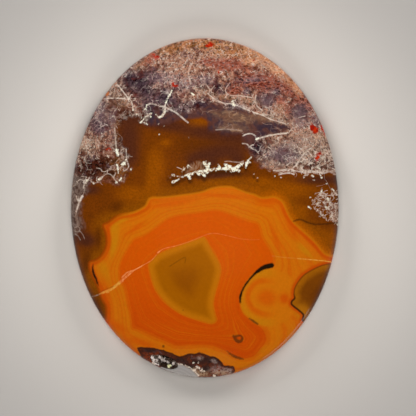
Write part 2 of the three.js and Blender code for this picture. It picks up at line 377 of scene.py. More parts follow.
# White coral-like plume. A stroke is a list of points, each with its x, y and half-width.
CORAL = [
    [(177.2, 176.1, 0.6), (182.3, 177.1, 0.7), (185.5, 175.5, 0.8), (188.7, 173.9, 0.9),
     (192.5, 173, 0.9), (195.7, 171.7, 0.9), (199.5, 171, 1), (203.4, 171, 1.2), (206.6, 170.7, 1.4),
     (210.4, 169.8, 1.1), (214.2, 169.1, 1.1), (218, 169.1, 1.3), (221.2, 169.1, 1.2), (225.1, 168.5, 1.9),
     (228.9, 168.2, 1.9), (232.7, 169.1, 1.6), (235.9, 168.4, 2), (239.1, 165.5, 1.5),
     (242.5, 163.3, 0.9)],
    [(172, 174.7, 1.1), (174.3, 175.6, 1)], [(173.1, 181.9, 1.5), (176.9, 180.3, 1), (179.4, 178.4, 0.6)],
    [(168.3, 176.1, 0.8)], [(170.4, 177.7, 0.7)],
    [(182, 175.5, 0.5), (182.3, 171, 0.6), (183.6, 169.6, 1.3), (186, 167.4, 0.6), (188.1, 165.3, 1.2)],
    [(188.1, 175.5, 1.2), (190.2, 178.7, 1.4)], [(191.9, 174.2, 1.4)],
    [(196.4, 172.3, 0.9), (198.9, 174.6, 1.2)], [(202.1, 173, 1.3), (204.6, 176.3, 1.7)],
    [(207.2, 172, 1.9)],
    [(203.6, 162.3, 1.5), (205.9, 165.3, 1.6), (207.2, 168.2, 1.5), (206.6, 170.7, 1.4)],
    [(205.9, 161.5, 1), (204.2, 163.6, 1.2)], [(209.3, 163.4, 1.4), (208.6, 166, 1.4)],
    [(216.1, 170.3, 1.3)], [(218, 164, 1), (219.3, 166.8, 1.3), (220.6, 169, 1.3)],
    [(223.8, 163.8, 0.8), (227.4, 166.2, 1.9), (231.4, 168, 2), (235, 169.2, 1.6)],
    [(233, 169.5, 1.3), (233, 171.4, 1)], [(235.3, 169.3, 1.4), (239.3, 171, 1.3)],
    [(246.4, 162.8, 1.5), (246.1, 166.8, 1.1)], [(246.4, 162.6, 1.2), (250.6, 162.1, 0.8)],
    [(248, 160.2, 0.9), (251.4, 157.2, 0.8), (251.6, 155.4, 0.7)], [(254.1, 174.2, 0.8)],
    [(257.3, 177.7, 0.9)],
]
# The pale comb above the coral's left half
COMB = [[(186, 172.5, 0.8), (191, 168, 2.8), (198, 165.4, 4.2), (205, 166.4, 2.8)]]
# Bright beads and short thick pieces among the plumes
BEADS = [
    [(108.2, 156.1, 1.4)], [(111, 160.3, 0.9)], [(94.5, 146.7, 0.9)], [(101.7, 133.6, 0.9)],
    [(115.8, 147.8, 0.5), (116.6, 150.2, 1.3), (117, 152.6, 1.7), (118.3, 156.4, 0.6)],
    [(116.6, 164.6, 1.1), (117.7, 168, 0.9), (118.4, 172.5, 0.9)], [(122, 164.6, 1.4), (124, 163.8, 2.1)],
    [(125.7, 159.8, 1)], [(131, 169.1, 1)], [(98.3, 179.9, 1), (100.2, 178.6, 1.5), (102.3, 177.2, 0.9)],
    [(116.6, 182.1, 1.4)], [(121.4, 177.7, 1), (120.2, 180.4, 1)], [(122.6, 181.4, 0.7)],
    [(86.8, 180.3, 1.2)], [(93.8, 183.5, 0.9)], [(132.9, 110.4, 1.1)], [(136.5, 114.4, 1)],
    [(112.9, 116.2, 0.9)], [(105.7, 139.4, 0.8)],
    [(147, 104.8, 0.7), (146, 107.6, 0.9), (146.8, 110.4, 0.6)], [(144.4, 109.4, 0.6)],
    [(151.6, 112.8, 0.7), (148.6, 115.2, 0.9)], [(149.6, 113.6, 0.7), (150.8, 117.6, 0.5)],
    [(148.6, 115.2, 0.7), (144.8, 117.4, 0.6), (143, 119.8, 0.9)], [(145, 118, 0.5), (146.8, 121, 0.6)],
    [(143, 119.8, 0.6), (141, 122.4, 1.1)], [(143.8, 122, 0.5), (147.2, 124.6, 0.6)],
    [(141.8, 116.8, 0.5), (140.4, 119.4, 0.4)], [(158.6, 124, 0.9)], [(163.8, 126.2, 0.8)],
    [(159.2, 134.4, 0.8)], [(173.4, 88.4, 0.5), (169.6, 95, 0.9), (167.4, 99.2, 0.6), (166, 102.6, 0.9)],
    [(164.9, 110, 0.7), (163.6, 114.4, 1.2), (160.5, 117.2, 1.4), (158.2, 116.4, 0.8), (155.8, 114, 0.4)],
    [(193.4, 94.8, 1.3), (190.4, 92.4, 0.8)], [(232.8, 101.6, 1.4), (234.6, 106.4, 1.2)], [(189, 138, 0.6)],
    [(256.6, 139.2, 1.2), (259.6, 138.2, 0.8)], [(281, 177.4, 0.9)], [(313.6, 180, 0.9)],
    [(327, 183.4, 0.8)], [(274.6, 176.6, 0.8)], [(312, 175.4, 1.2), (313.4, 176.8, 0.8)],
    [(320.6, 175.2, 0.8), (321.6, 177.4, 1.1)], [(304, 177.6, 0.9)], [(318, 167.2, 0.7), (320.6, 169.4, 1)],
    [(322, 188.6, 0.8), (321.4, 191.4, 1.1)], [(310.2, 197.6, 0.8)],
    [(308.8, 206.6, 1), (310.6, 208.6, 0.8)], [(327.4, 198.4, 1.1), (329, 200.4, 1)],
    [(317.6, 203.6, 1), (320, 202.4, 0.8)], [(319.8, 216.4, 1)], [(332, 188.8, 0.8), (333.6, 191.4, 0.7)],
    [(337.8, 224.4, 1)], [(325.4, 206.6, 0.9), (328.4, 208.4, 0.7)],
]
RED_SPOTS = [
    [(208, 45.6, 2.2), (211, 44.6, 2.5)], [(312.8, 127.6, 3.1), (315.4, 130.6, 3.2)],
    [(321.6, 126.6, 1.1), (323.4, 129.8, 1.8), (325, 134, 1.4)], [(319.6, 153.6, 2)],
    [(317.4, 157, 2.2), (317.2, 160.2, 1.3)], [(153.6, 55.6, 1.2), (157.6, 57.6, 1.4)],
    [(173.4, 84.6, 1.4), (177, 86.4, 1.1)], [(106.2, 149.4, 0.6), (110, 149.2, 0.8)], [(218.8, 72.8, 1)],
    [(254, 60, 0.6)],
]
RIM_AMBER = [[(108.6, 92, 0.8), (107, 94.8, 1.4)]]
LENS_EDGE = [[(169, 372.4, 0.4), (176, 374.8, 1), (186, 377, 1.1), (199, 378.4, 0.9)]]
BLACK_STROKES = [
    [(271.6, 265.4, 2.3), (269, 266, 2.3), (265, 267, 2.2), (261.2, 268.8, 1.9), (255.5, 272.9, 1.2)],
    [(255.5, 272.9, 1.1), (249.8, 279.1, 0.8), (245.9, 284.2, 0.7), (242.4, 290.4, 0.8),
     (240.3, 296.8, 1.1), (240.2, 302.4, 0.6)],
    [(93.2, 264.5, 0.2), (92.6, 268.5, 0.7), (93.6, 273.5, 0.9), (96, 279.1, 0.8), (98.5, 285.6, 0.2)],
]
KNOT_STROKES = [
    [(233.4, 336, 0.9), (235.4, 339.4, 1.2), (238.6, 341.6, 1.5), (241.4, 340.6, 1.2), (242.4, 338, 0.8),
     (240.8, 335.9, 0.6), (237.6, 335.9, 0.8), (234.6, 337, 1)],
    [(227.2, 351.3, 0.2), (230.6, 354.2, 0.7), (234.8, 356.6, 1), (239.4, 358.2, 0.8), (243.4, 359, 0.3)],
    [(249.2, 318.3, 0.2), (253.6, 321.4, 0.8), (257.8, 324, 0.5)], [(163.5, 346.4, 1)],
    [(183.2, 310.2, 0.2)], [(138.4, 165, 0.7)],
]
# Crystals and crust in the pocket zone
CRUST_BEADS = [
    [(152.2, 356.4, 1.3), (154.6, 357.6, 1)], [(158.6, 356.6, 0.8), (160.6, 357.4, 0.6)],
    [(152.6, 363, 0.8), (155, 365.6, 0.7)],
    [(170, 360.2, 0.5), (172.1, 362.6, 0.6), (174.9, 364, 0.5), (180.5, 364.2, 0.6), (184.7, 365.3, 0.4)],
    [(184.7, 365.3, 0.4), (188.2, 366.8, 0.7), (191.1, 368.5, 0.4)],
    [(191.6, 369, 0.6), (193.5, 370.3, 0.8), (196, 372.6, 0.4), (198.4, 375.3, 0.9)], [(193.5, 362.8, 1)],
    [(198.4, 362.5, 0.8)], [(196.7, 366.7, 1), (199.5, 368.1, 0.8)], [(195.3, 369.4, 0.9)],
    [(200.9, 370.7, 0.8), (202.3, 369.1, 0.8)], [(200.9, 370.9, 0.8), (204.6, 371.4, 0.6)],
    [(214.2, 376, 1.3)],
]

# Thin strokes among the plumes. Each has a tone, its half-width and its points.
FIBRES = [
    (1, 0.8, [(117.3, 84.5), (120.6, 88.4), (123.6, 92.4), (127.6, 97.4), (131.6, 101)]),
    (0.95, 0.8, [(104.8, 98.6), (108.6, 98.4), (112.4, 98.1), (117.6, 98.2), (122.7, 98.5), (128.4, 99.6)]),
    (0.95, 0.8, [(131.4, 101), (132.2, 104.4), (132.5, 106.8), (132.9, 110.4)]),
    (0.85, 1.1, [(148, 104.6), (151.6, 103.6), (159, 105.6), (166, 107.6), (174.8, 111.8), (182, 117.5),
     (187.7, 122.3)]),
    (1, 0.7, [(166, 102.6), (165, 106.4), (164.9, 110)]), (0.75, 0.6, [(177.2, 167.2), (181.7, 169.1)]),
    (0.6, 0.7, [(225.1, 161.5), (229, 161.2), (232.7, 161.8), (239.7, 162.2), (243.6, 161)]),
    (0.8, 0.6, [(188.1, 165.3), (191.9, 167.8)]),
    (0.9, 0.7, [(207.7, 93.6), (210.6, 96), (215, 99), (220, 101.6), (225, 103.4), (230.4, 103.6)]),
    (0.6, 0.4, [(212, 98.6), (216, 101.4), (221, 103), (227, 104.8)]),
    (0.95, 0.8, [(230.4, 103.6), (236, 105), (243, 108), (248, 110.2), (253.6, 112.3)]),
    (0.7, 0.5, [(238, 104.4), (244, 106), (250, 109)]),
    (0.45, 0.7, [(215.6, 129.8), (226, 129.2), (236, 129.8), (242, 131)]),
    (1, 0.7, [(253.6, 112.3), (262, 115), (266.6, 117.4), (271, 119.4)]),
    (0.6, 0.5, [(262, 114), (268, 114.6), (274, 117)]),
    (0.8, 0.7, [(271, 119.4), (278.6, 121.6), (286, 124)]),
    (0.8, 0.6, [(230, 82.6), (226.4, 87.4), (225.4, 91), (228, 94.4), (231.6, 95.5), (238, 95.4),
     (245, 96.5), (252, 97.6)]),
    (0.7, 0.7, [(206, 84), (209.6, 89.6), (208.6, 94)]),
    (0.6, 1.1, [(189.8, 66), (188.6, 74), (190.6, 84)]),
    (0.8, 0.7, [(276.5, 101.3), (281, 101.4), (284.4, 103), (288, 104.6)]),
    (0.85, 0.7, [(306, 105.6), (309, 106.6), (312, 107.5)]),
    (0.8, 0.7, [(256, 95), (255.4, 100), (257, 106), (262, 110)]),
    (0.75, 0.7, [(272, 108.6), (270.6, 112), (273, 116)]),
    (0.95, 0.9, [(243, 135.7), (247, 134), (251.7, 133.8), (255.4, 136)]),
    (1, 1, [(256.4, 139), (261.6, 137.6), (267, 136), (276.5, 134.3), (283, 133.6), (288, 132.8)]),
    (0.85, 0.8, [(242.6, 143.4), (247, 144.2), (249.4, 146.8), (252.4, 148.8)]),
    (0.85, 0.8, [(249, 147.6), (251.6, 145.4), (253.6, 144.8)]),
    (0.8, 0.7, [(252.4, 148.8), (256, 150.4), (258.6, 153.6)]),
    (0.75, 0.7, [(268, 147), (271, 149), (273.6, 153)]),
    (0.95, 1, [(273.7, 170.6), (279, 170.8), (284, 170), (289, 170.2)]),
    (0.95, 1, [(279, 174.6), (284, 173.4), (290, 173), (294, 174.4)]),
    (0.95, 0.9, [(289, 169.6), (297, 171), (305, 172.5), (314, 172), (324, 172.5), (333, 171)]),
    (0.9, 0.8, [(311, 148), (305, 152.6), (301, 157.6), (297, 164), (292, 169)]),
    (0.8, 0.7, [(287, 165), (292, 162), (296, 163)]),
    (0.8, 0.7, [(126.1, 149.1), (126.4, 155), (126.8, 160.3), (128.7, 165.9), (127.2, 169.1), (124, 171)]),
    (0.7, 0.6, [(102.3, 177.2), (105, 174.8), (107.9, 173.7), (111, 174.8), (113.5, 177.9), (116, 181)]),
    (0.8, 0.6, [(96.6, 168), (100.2, 168.8), (102.3, 171.6)]),
    (0.75, 0.6, [(115.6, 173), (113.8, 177.9), (114.9, 180)]),
    (0.85, 0.8, [(86.8, 180.3), (84.4, 183.6), (83.3, 188)]), (0.4, 0.5, [(85, 188), (84, 192), (83, 195)]),
    (1, 1.5, [(82.6, 195.6), (80.8, 199), (79.1, 202.4)]),
    (0.95, 1.1, [(79.1, 202.4), (77.8, 206.6), (76.3, 211.5)]),
    (0.95, 0.8, [(76.3, 196.1), (77.2, 199.4), (78.6, 202)]),
    (0.7, 0.7, [(77, 182), (80, 179.6), (84, 180.4), (88.4, 179.6), (91.4, 181.6), (93.8, 183.5)]),
    (0.65, 0.7, [(110.6, 166.6), (112, 169.6), (114.4, 168.6), (113.4, 165.6), (110.6, 166.6)]),
    (0.3, 1.6, [(75.6, 213), (76.8, 219), (78.6, 225)]),
    (0.4, 0.6, [(74.4, 228), (78, 226.6), (80, 229), (78, 232), (75, 231)]),
    (0.42, 0.6, [(75, 234), (78, 236), (80.4, 240)]), (0.4, 0.5, [(80, 231), (83, 235), (84.6, 239)]),
    (0.7, 0.9, [(114.6, 128.2), (115.2, 134), (115.5, 140.3), (116.2, 147)]),
]
CRACK = [
    (0.6, 0.6, [(91, 297), (96.6, 295.4), (101.1, 293.4)]),
    (0.6, 1, [(101.1, 293.4), (106.9, 291), (112.6, 288.7)]), (0.8, 1.1, [(107, 292), (112.4, 288.6)]),
    (0.75, 1.2, [(113.6, 287.7), (119.3, 283), (123.2, 279.6)]),
    (0.85, 0.6, [(123.2, 279.6), (127.4, 276.2), (130.4, 273.6), (133.7, 270.5)]),
    (0.75, 0.6, [(122, 277.6), (125.6, 273.8), (129, 271.6), (133.7, 270.5)]),
    (0.9, 0.5, [(133.7, 270.5), (142.3, 265.7)]),
    (0.5, 0.4, [(142.3, 265.7), (151.9, 260), (156.7, 254.6)]), (0.9, 0.6, [(157.6, 252.9), (160, 251)]),
    (0.5, 0.4, [(160, 251), (164.3, 248.5), (174.8, 246.1)]),
    (0.28, 0.4, [(174.8, 246.1), (186.3, 242.7), (197.8, 238.2), (206.7, 234.4)]),
    (0.28, 0.4, [(206.7, 234.4), (211.8, 233.4), (217.2, 233.6), (228.7, 236), (236.2, 237.9)]),
    (0.2, 0.4, [(236.2, 237.9), (240.2, 238.9), (251.7, 239.7), (259.3, 239.4)]),
    (0.22, 0.4, [(272, 256), (284, 257.4), (297.6, 258.5)]),
    (0.7, 0.5, [(297.6, 258.5), (311, 259.7), (322.5, 260.8), (334, 262.4)]),
]
DARK_LINES = [
    (0.55, 0.4, [(169.5, 266.4), (184.6, 257.4), (185, 263)]),
    (0.4, 0.4, [(101, 291.8), (107, 288.8), (114, 286.2)]),
    (1, 0.6, [(293.8, 221.2), (297.4, 219.8), (301.4, 219.8), (304.8, 221.2), (308.1, 222.6),
     (314.8, 224.5)]),
    (1, 0.6, [(314.8, 224.5), (324.4, 224.1), (331, 223.2), (340, 223.1)]),
]

# Where random fibres grow among the plumes
TOP = [
    (60, 180), (100, 60), (150, 30), (210, 25), (280, 45), (330, 100), (345, 170), (300, 172), (262, 165),
    (250, 145), (285, 130), (243, 108), (208, 93), (176, 110), (145, 112), (122, 120), (125, 165), (100, 182),
]
LEFT = [(66, 200), (72, 150), (84, 115), (100, 95), (128, 110), (120, 135), (128, 160), (122, 182), (86, 184)]
RIGHT = [(285, 140), (300, 130), (320, 110), (345, 130), (345, 171), (300, 172), (280, 170), (276, 156)]
TUFT = [(311, 202), (314, 194), (322, 189), (336, 190), (345, 205), (342, 224), (326, 219), (314, 210)]
BAND = [(205, 110), (262, 112), (285, 130), (270, 134), (215, 126)]
FRINGE = [(294, 170), (300, 158), (322, 150), (345, 146), (345, 174), (304, 174)]
# Each growth has its outline, how many fibres start, and their lengths, curl, tones and half-widths
GROWTHS = [
    (TOP, 150, (3, 9), 0.45, (0.3, 1.0), (0.22, 0.42)),
    (TOP, 34, (10, 24), 0.22, (0.3, 0.7), (0.2, 0.34)),
    (LEFT, 36, (2, 6), 0.5, (0.3, 0.9), (0.22, 0.42)),
    (BAND, 14, (5, 14), 0.3, (0.12, 0.36), (0.3, 0.5)),
    (RIGHT, 50, (3, 10), 0.4, (0.3, 0.8), (0.24, 0.4)),
    (FRINGE, 50, (2, 7), 0.55, (0.6, 1.0), (0.36, 0.66)),
    (TUFT, 100, (1.5, 4.5), 0.8, (0.5, 1.0), (0.24, 0.46)),
]


# The stone's mesh

def dome_height(s):
    """Height of the polished surface, where s runs from 0 on top to 1 where the dome meets the girdle."""
    bulge = np.clip(1 - np.clip(s, 0, 1) ** FULLNESS, 0, 1) ** SHOULDER
    return GIRDLE_TOP + (THICKNESS - GIRDLE_TOP) * bulge


def disc_grid(columns, rows):
    """A square grid of points spread over the unit disc, closer together along its rim."""
    u, v = np.meshgrid(np.linspace(-1, 1, columns + 1), np.linspace(-1, 1, rows + 1))
    x = u * np.sqrt(1 - v * v / 2)
    y = v * np.sqrt(1 - u * u / 2)
    r = np.hypot(x, y)
    crowded = 1 - (1 - r) * (1 - RIM_CROWDING * np.exp(-(1 - r) / RIM_CROWDED))
    stretch = np.where(r > 0, crowded / np.maximum(r, 1e-9), 1)
    return x * stretch, y * stretch


def grid_faces(columns, rows, first, facing_up):
    faces = []
    for row in range(rows):
        for column in range(columns):
            a = first + row * (columns + 1) + column
            b = a + columns + 1
            corners = (a, a + 1, b + 1, b)
            faces.append(corners if facing_up else corners[::-1])
    return faces


def grid_border(columns, rows, first):
    """The grid's outer vertices, in turn, seen from above and against the clock."""
    span = columns + 1
    bottom = [first + column for column in range(columns)]
    right = [first + row * span + columns for row in range(rows)]
    top = [first + rows * span + column for column in range(columns, 0, -1)]
    left = [first + row * span for row in range(rows, 0, -1)]
    return bottom + right + top + left


def surface_height(x, y):
    s = math.hypot(x / (WIDTH / 2), y / (LENGTH / 2)) / DOME_EDGE
    return float(dome_height(s))


def pocket_axes():
    """The pocket's middle and its axes: along, across and outward from the stone."""
    x, y = POCKET_AT
    step = 1e-5
    slope_x = (surface_height(x + step, y) - surface_height(x - step, y)) / (2 * step)
    slope_y = (surface_height(x, y + step) - surface_height(x, y - step)) / (2 * step)
    outward = Vector((-slope_x, -slope_y, 1)).normalized()
    along = Vector((math.cos(POCKET_TURN), math.sin(POCKET_TURN), 0))
    along = (along - along.dot(outward) * outward).normalized()
    across = outward.cross(along)
    return Vector((x, y, surface_height(x, y))), along, across, outward


def open_pocket(points):
    """Presses the surface in where the pocket opens, in place."""
    middle, along, across, outward = (np.array(v) for v in pocket_axes())
    local = points - middle
    reach = np.hypot(local @ along / (POCKET_LENGTH / 2), local @ across / (POCKET_WIDTH / 2))
    near = np.linalg.norm(local, axis=1) < POCKET_LENGTH
    depth = POCKET_DEPTH * np.sqrt(np.clip(1 - reach ** 2, 0, 1)) * near
    points -= depth[:, None] * outward
    return depth


def flat_map(faces, points, left, width, low, height, mirrored=False):
    """Texture places of faces that are seen flat, corner by corner, in a rectangle of the texture."""
    corners = points[np.array(faces).ravel()]
    across = corners[:, 0] / WIDTH + 0.5
    if mirrored:
        across = 1 - across
    return np.column_stack([left + width * across, low + height * (corners[:, 1] / LENGTH + 0.5)])


def add_girdle(ring, rim, blocks, faces, places):
    """Steps down from the dome's border. Gives back the lowest ring of vertices."""
    around = len(ring)
    count = len(blocks[0])
    for step in range(1, GIRDLE_STEPS + 1):
        share = step / GIRDLE_STEPS
        radius = DOME_EDGE + (1 - DOME_EDGE) * share
        level = GIRDLE_TOP + (BACK_BEVEL - GIRDLE_TOP) * share
        blocks.append(np.column_stack([rim * radius, np.full(around, level)]))
        lower = list(range(count, count + around))
        count += around
        inner = GIRDLE_MAP * (step - 1) / (GIRDLE_STEPS + 1)
        outer = GIRDLE_MAP * step / (GIRDLE_STEPS + 1)
        for i in range(around):
            j = (i + 1) % around
            here, there = i / around, (i + 1) / around
            faces.append((ring[i], lower[i], lower[j], ring[j]))
            places.append(np.array([(inner, here), (outer, here), (outer, there), (inner, there)]))
        ring = lower
    return ring


def add_back(x, y, ring, blocks, faces, places):
    """The flat back, coarser than the dome, and the bevel that joins it to the girdle's lowest ring."""
    columns, rows = COLUMNS // BACK_STEP, ROWS // BACK_STEP
    x, y = x[::BACK_STEP, ::BACK_STEP].ravel(), y[::BACK_STEP, ::BACK_STEP].ravel()
    count = sum(len(block) for block in blocks)
    blocks.append(np.column_stack([x * BACK_EDGE * WIDTH / 2, y * BACK_EDGE * LENGTH / 2, np.zeros(len(x))]))
    flat = grid_faces(columns, rows, count, False)
    faces += flat
    places.append(flat_map(flat, np.concatenate(blocks), *BACK_MAP, mirrored=True))
    border = grid_border(columns, rows, count)
    around = len(ring)
    outer = GIRDLE_MAP * GIRDLE_STEPS / (GIRDLE_STEPS + 1)
    for i in range(len(border)):
        steps = range(i * BACK_STEP + BACK_STEP, i * BACK_STEP - 1, -1)
        faces.append((*(ring[k % around] for k in steps), border[i], border[(i + 1) % len(border)]))
        edge = [(outer, k / around) for k in steps]
        places.append(np.array([*edge, (GIRDLE_MAP, edge[-1][1]), (GIRDLE_MAP, edge[0][1])]))


def stone_shape():
    """Vertices, faces and texture places of the whole stone, with how deep in the pocket each vertex lies."""
    x, y = disc_grid(COLUMNS, ROWS)
    height = dome_height(np.hypot(x, y))
    dome = np.stack([x * DOME_EDGE * WIDTH / 2, y * DOME_EDGE * LENGTH / 2, height], axis=-1).reshape(-1, 3)
    depth = open_pocket(dome)
    blocks = [dome]
    faces = grid_faces(COLUMNS, ROWS, 0, True)
    places = [flat_map(faces, dome, *DOME_MAP)]
    ring = grid_border(COLUMNS, ROWS, 0)
    rim = np.stack([x.ravel()[ring] * WIDTH / 2, y.ravel()[ring] * LENGTH / 2], axis=-1)
    ring = add_girdle(ring, rim, blocks, faces, places)
    add_back(x, y, ring, blocks, faces, places)
    points = np.concatenate(blocks)
    depth = np.concatenate([depth, np.zeros(len(points) - len(depth))])
    return points, faces, np.concatenate(places), depth


# Fields, in photograph pixels

def to_photo(points):
    """Where the camera sees each point, in photograph pixels."""
    spot_x, spot_y = camera_spot()
    nearer = CAMERA_HEIGHT / (CAMERA_HEIGHT + GIRDLE_TOP - points[:, 2])
    x = PHOTO_SIDE / 2 + (points[:, 0] - spot_x) * nearer / PIXEL
    y = PHOTO_SIDE / 2 - (points[:, 1] - spot_y) * nearer / PIXEL
    return np.column_stack([x, y])


def marking_spots(points):
    """Where each point's markings come from. Below the dome they turn back inwards, so none is drawn out."""
    spots = to_photo(points)
    inwards = np.clip(GIRDLE_TOP - points[:, 2], 0, None) / MEAN_RADIUS
    return OVAL_MIDDLE + (spots - OVAL_MIDDLE) * (1 - inwards)[:, None]


def rounded(points, parts=4, closed=True):
    """A smooth curve through the points, as a finer list of points (Catmull-Rom)."""
    points = np.array(points, float)
    count = len(points)
    if closed:
        before, after, later = np.roll(points, 1, 0), np.roll(points, -1, 0), np.roll(points, -2, 0)
        start = points
    else:
        padded = np.concatenate([[2 * points[0] - points[1]], points, [2 * points[-1] - points[-2]]])
        before, start, after, later = (padded[i:i + count - 1] for i in range(4))
    curve = []
    for part in range(parts):
        t = part / parts
        curve.append(0.5 * (2 * start + (after - before) * t
                            + (2 * before - 5 * start + 4 * after - later) * t ** 2
                            + (3 * start - before - 3 * after + later) * t ** 3))
    curve = np.stack(curve, axis=1).reshape(-1, points.shape[1])
    return curve if closed else np.concatenate([curve, points[-1:]])


def distance_to_line(spots, line):
    """Distance of each spot from a line of points. A third number of a point is its half-width, taken off."""
    nearest = np.full(len(spots), 1e9)
    if len(line) == 1:
        line = np.concatenate([line, line])
    for a, b in zip(line[:-1], line[1:]):
        along = b[:2] - a[:2]
        t = np.clip((spots - a[:2]) @ along / max(along @ along, 1e-9), 0, 1)
        away = np.hypot(*(spots - a[:2] - t[:, None] * along).T)
        if len(a) > 2:
            away = away - a[2] - t * (b[2] - a[2])
        nearest = np.minimum(nearest, away)
    return nearest


def from_outline(spots, outline):
    """Distance of each spot from a closed outline, negative inside it."""
    curve = rounded(outline)
    closed = np.concatenate([curve, curve[:1]])
    away = distance_to_line(spots, closed)
    inside = np.zeros(len(spots), bool)
    x, y = spots.T
    for (ax, ay), (bx, by) in zip(closed[:-1], closed[1:]):
        crosses = (ay > y) != (by > y)
        inside ^= crosses & (x < (bx - ax) * (y - ay) / (by - ay + 1e-12) + ax)
    return np.where(inside, -away, away)


def from_strokes(spots, strokes):
    """Distance of each spot from the nearest edge of thick strokes, negative inside them."""
    nearest = np.full(len(spots), 1e9)
    for stroke in strokes:
        line = np.array(stroke, float)
        if len(line) > 2:
            line = rounded(line, 3, False)
        reach = line[:, 2].max() + STROKE_REACH
        low, high = line[:, :2].min(0) - reach, line[:, :2].max(0) + reach
        close = np.all((spots > low) & (spots < high), axis=1)
        nearest[close] = np.minimum(nearest[close], distance_to_line(spots[close], line))
    return np.minimum(nearest, STROKE_FAR)


def in_patches(spots, patches):
    """How strongly soft round patches cover each spot, from 0 to 1."""
    clear = np.ones(len(spots))
    for x, y, reach_x, reach_y, *turn in patches:
        angle = math.radians(sum(turn))
        dx, dy = spots[:, 0] - x, spots[:, 1] - y
        u = (dx * math.cos(angle) + dy * math.sin(angle)) / reach_x
        v = (dy * math.cos(angle) - dx * math.sin(angle)) / reach_y
        clear *= 1 - PATCH_COVER * np.exp(-(u * u + v * v) ** PATCH_EDGE)
    return 1 - clear


def thread_density(spots):
    """How thickly threads fill each spot, from 0 to 1."""
    fewer = SPARSE_LOSS * in_patches(spots, SPARSE)
    more = DENSE_GAIN * in_patches(spots, DENSE)
    return np.clip(USUAL_DENSITY - fewer + more, 0, 1)


def from_fibres(spots, fibres):
    """The nearest of many thin lines: the way to it in half-widths, as x, y and length, and its tone."""
    samples, tangents, widths, tones = [], [], [], []
    for tone, half_width, points in fibres:
        line = rounded(points, 6, False) if len(points) > 2 else np.array(points, float)
        for a, b in zip(line[:-1], line[1:]):
            length = max(np.hypot(*(b - a)), 1e-6)
            steps = max(1, int(length / SAMPLE_GAP))
            for k in range(steps):
                samples.append(a + (b - a) * (k + 0.5) / steps)
                tangents.append((b - a) / length)
                widths.append(half_width)
                tones.append(tone)
    tree = kdtree.KDTree(len(samples))
    for i, sample in enumerate(samples):
        tree.insert((sample[0], sample[1], 0), i)
    tree.balance()
    found = np.array([tree.find((x, y, 0))[1] for x, y in spots])
    samples, tangents = np.array(samples)[found], np.array(tangents)[found]
    widths, tones = np.array(widths)[found], np.array(tones)[found]
    away = spots - samples
    # Less the little that comes from the samples' spacing along the line
    slide = np.clip(np.sum(away * tangents, axis=1), -SAMPLE_GAP / 2, SAMPLE_GAP / 2)
    away = (away - slide[:, None] * tangents) / widths[:, None]
    length = np.minimum(np.hypot(*away.T), FIBRE_FAR)
    return np.column_stack([away, length]), tones


def walk(random, start, heading, bend, length, curl):
    """Points of one curly fibre, a step apart."""
    points = [tuple(start)]
    x, y = start
    for _ in range(max(2, int(length / FIBRE_STEP))):
        x += FIBRE_STEP * math.cos(heading)
        y += FIBRE_STEP * math.sin(heading)
        heading += bend + random.normal(0, curl)
        points.append((x, y))
    return points


def grow_fibres(random, outline, count, length, curl, tone, width):
    """Curly fibres that start at random inside an outline, some with a branch half-way."""
    outline = np.array(outline, float)
    low, high = outline.min(0), outline.max(0)
    starts = low + (high - low) * random.random((count * 4, 2))
    starts = starts[from_outline(starts, outline) < 0][:count]
    fibres = []
    for start in starts:
        heading = random.uniform(0, 2 * math.pi)
        bend = random.normal(0, curl)
        reach = random.uniform(*length)
        shade = random.uniform(*tone)
        half = random.uniform(*width)
        fibre = walk(random, start, heading, bend, reach, curl)
        fibres.append((shade, half, fibre))
        if random.random() < FORKED_SHARE and len(fibre) > 3:
            root = fibre[len(fibre) // 2]
            turned = heading + random.choice([-1, 1]) * random.uniform(0.5, 1.2)
            fibres.append((shade, half * 0.9, walk(random, root, turned, -bend, reach * 0.6, curl)))
    return fibres


def fibre_layers(random):
    layers = {}
    for name, drawn in (("fibres_a", FIBRES), ("fibres_b", [])):
        grown = [fibre for growth in GROWTHS for fibre in grow_fibres(random, *growth)]
        layers[name] = grown + drawn
    layers["crack"] = CRACK
    layers["dark_line"] = DARK_LINES
    return layers


def teeth(random, strokes):
    """Short branches of thick strokes: blunt ones that hang down, and finer ones that stand up."""
    branches = []
    for stroke in strokes:
        for a, b in zip(np.array(stroke, float)[:-1], np.array(stroke, float)[1:]):
            length = math.hypot(*(b - a)[:2])
            for _ in range(max(1, round(length / TOOTH_GAP))):
                x, y, half = a + (b - a) * random.random()
                hangs = random.random() < HANGING_SHARE
                heading = random.uniform(0.9, 2.2) * (1 if hangs else -1)
                reach = half + random.uniform(0.8, 2.4 if hangs else 1.6)
                tip = (x + reach * math.cos(heading), y + reach * math.sin(heading), 0.5 if hangs else 0.25)
                branches.append([(x, y, 0.9 if hangs else 0.5), tip])
    return branches


def growth_lines(wall, red, eye):
    """A number that rises by 1 from the wall to the red region, by 1 more to the eye, and on inside it."""
    ochre = -wall / np.maximum(-wall + red, 1e-6)
    inner = -red / np.maximum(-red + eye, 1e-6)
    core = -eye / GROWTH_SCALE
    growth = np.where(eye < 0, 2 + core, np.where(red < 0, 1 + inner, ochre))
    return np.where(wall > 0, -wall / GROWTH_SCALE, growth)


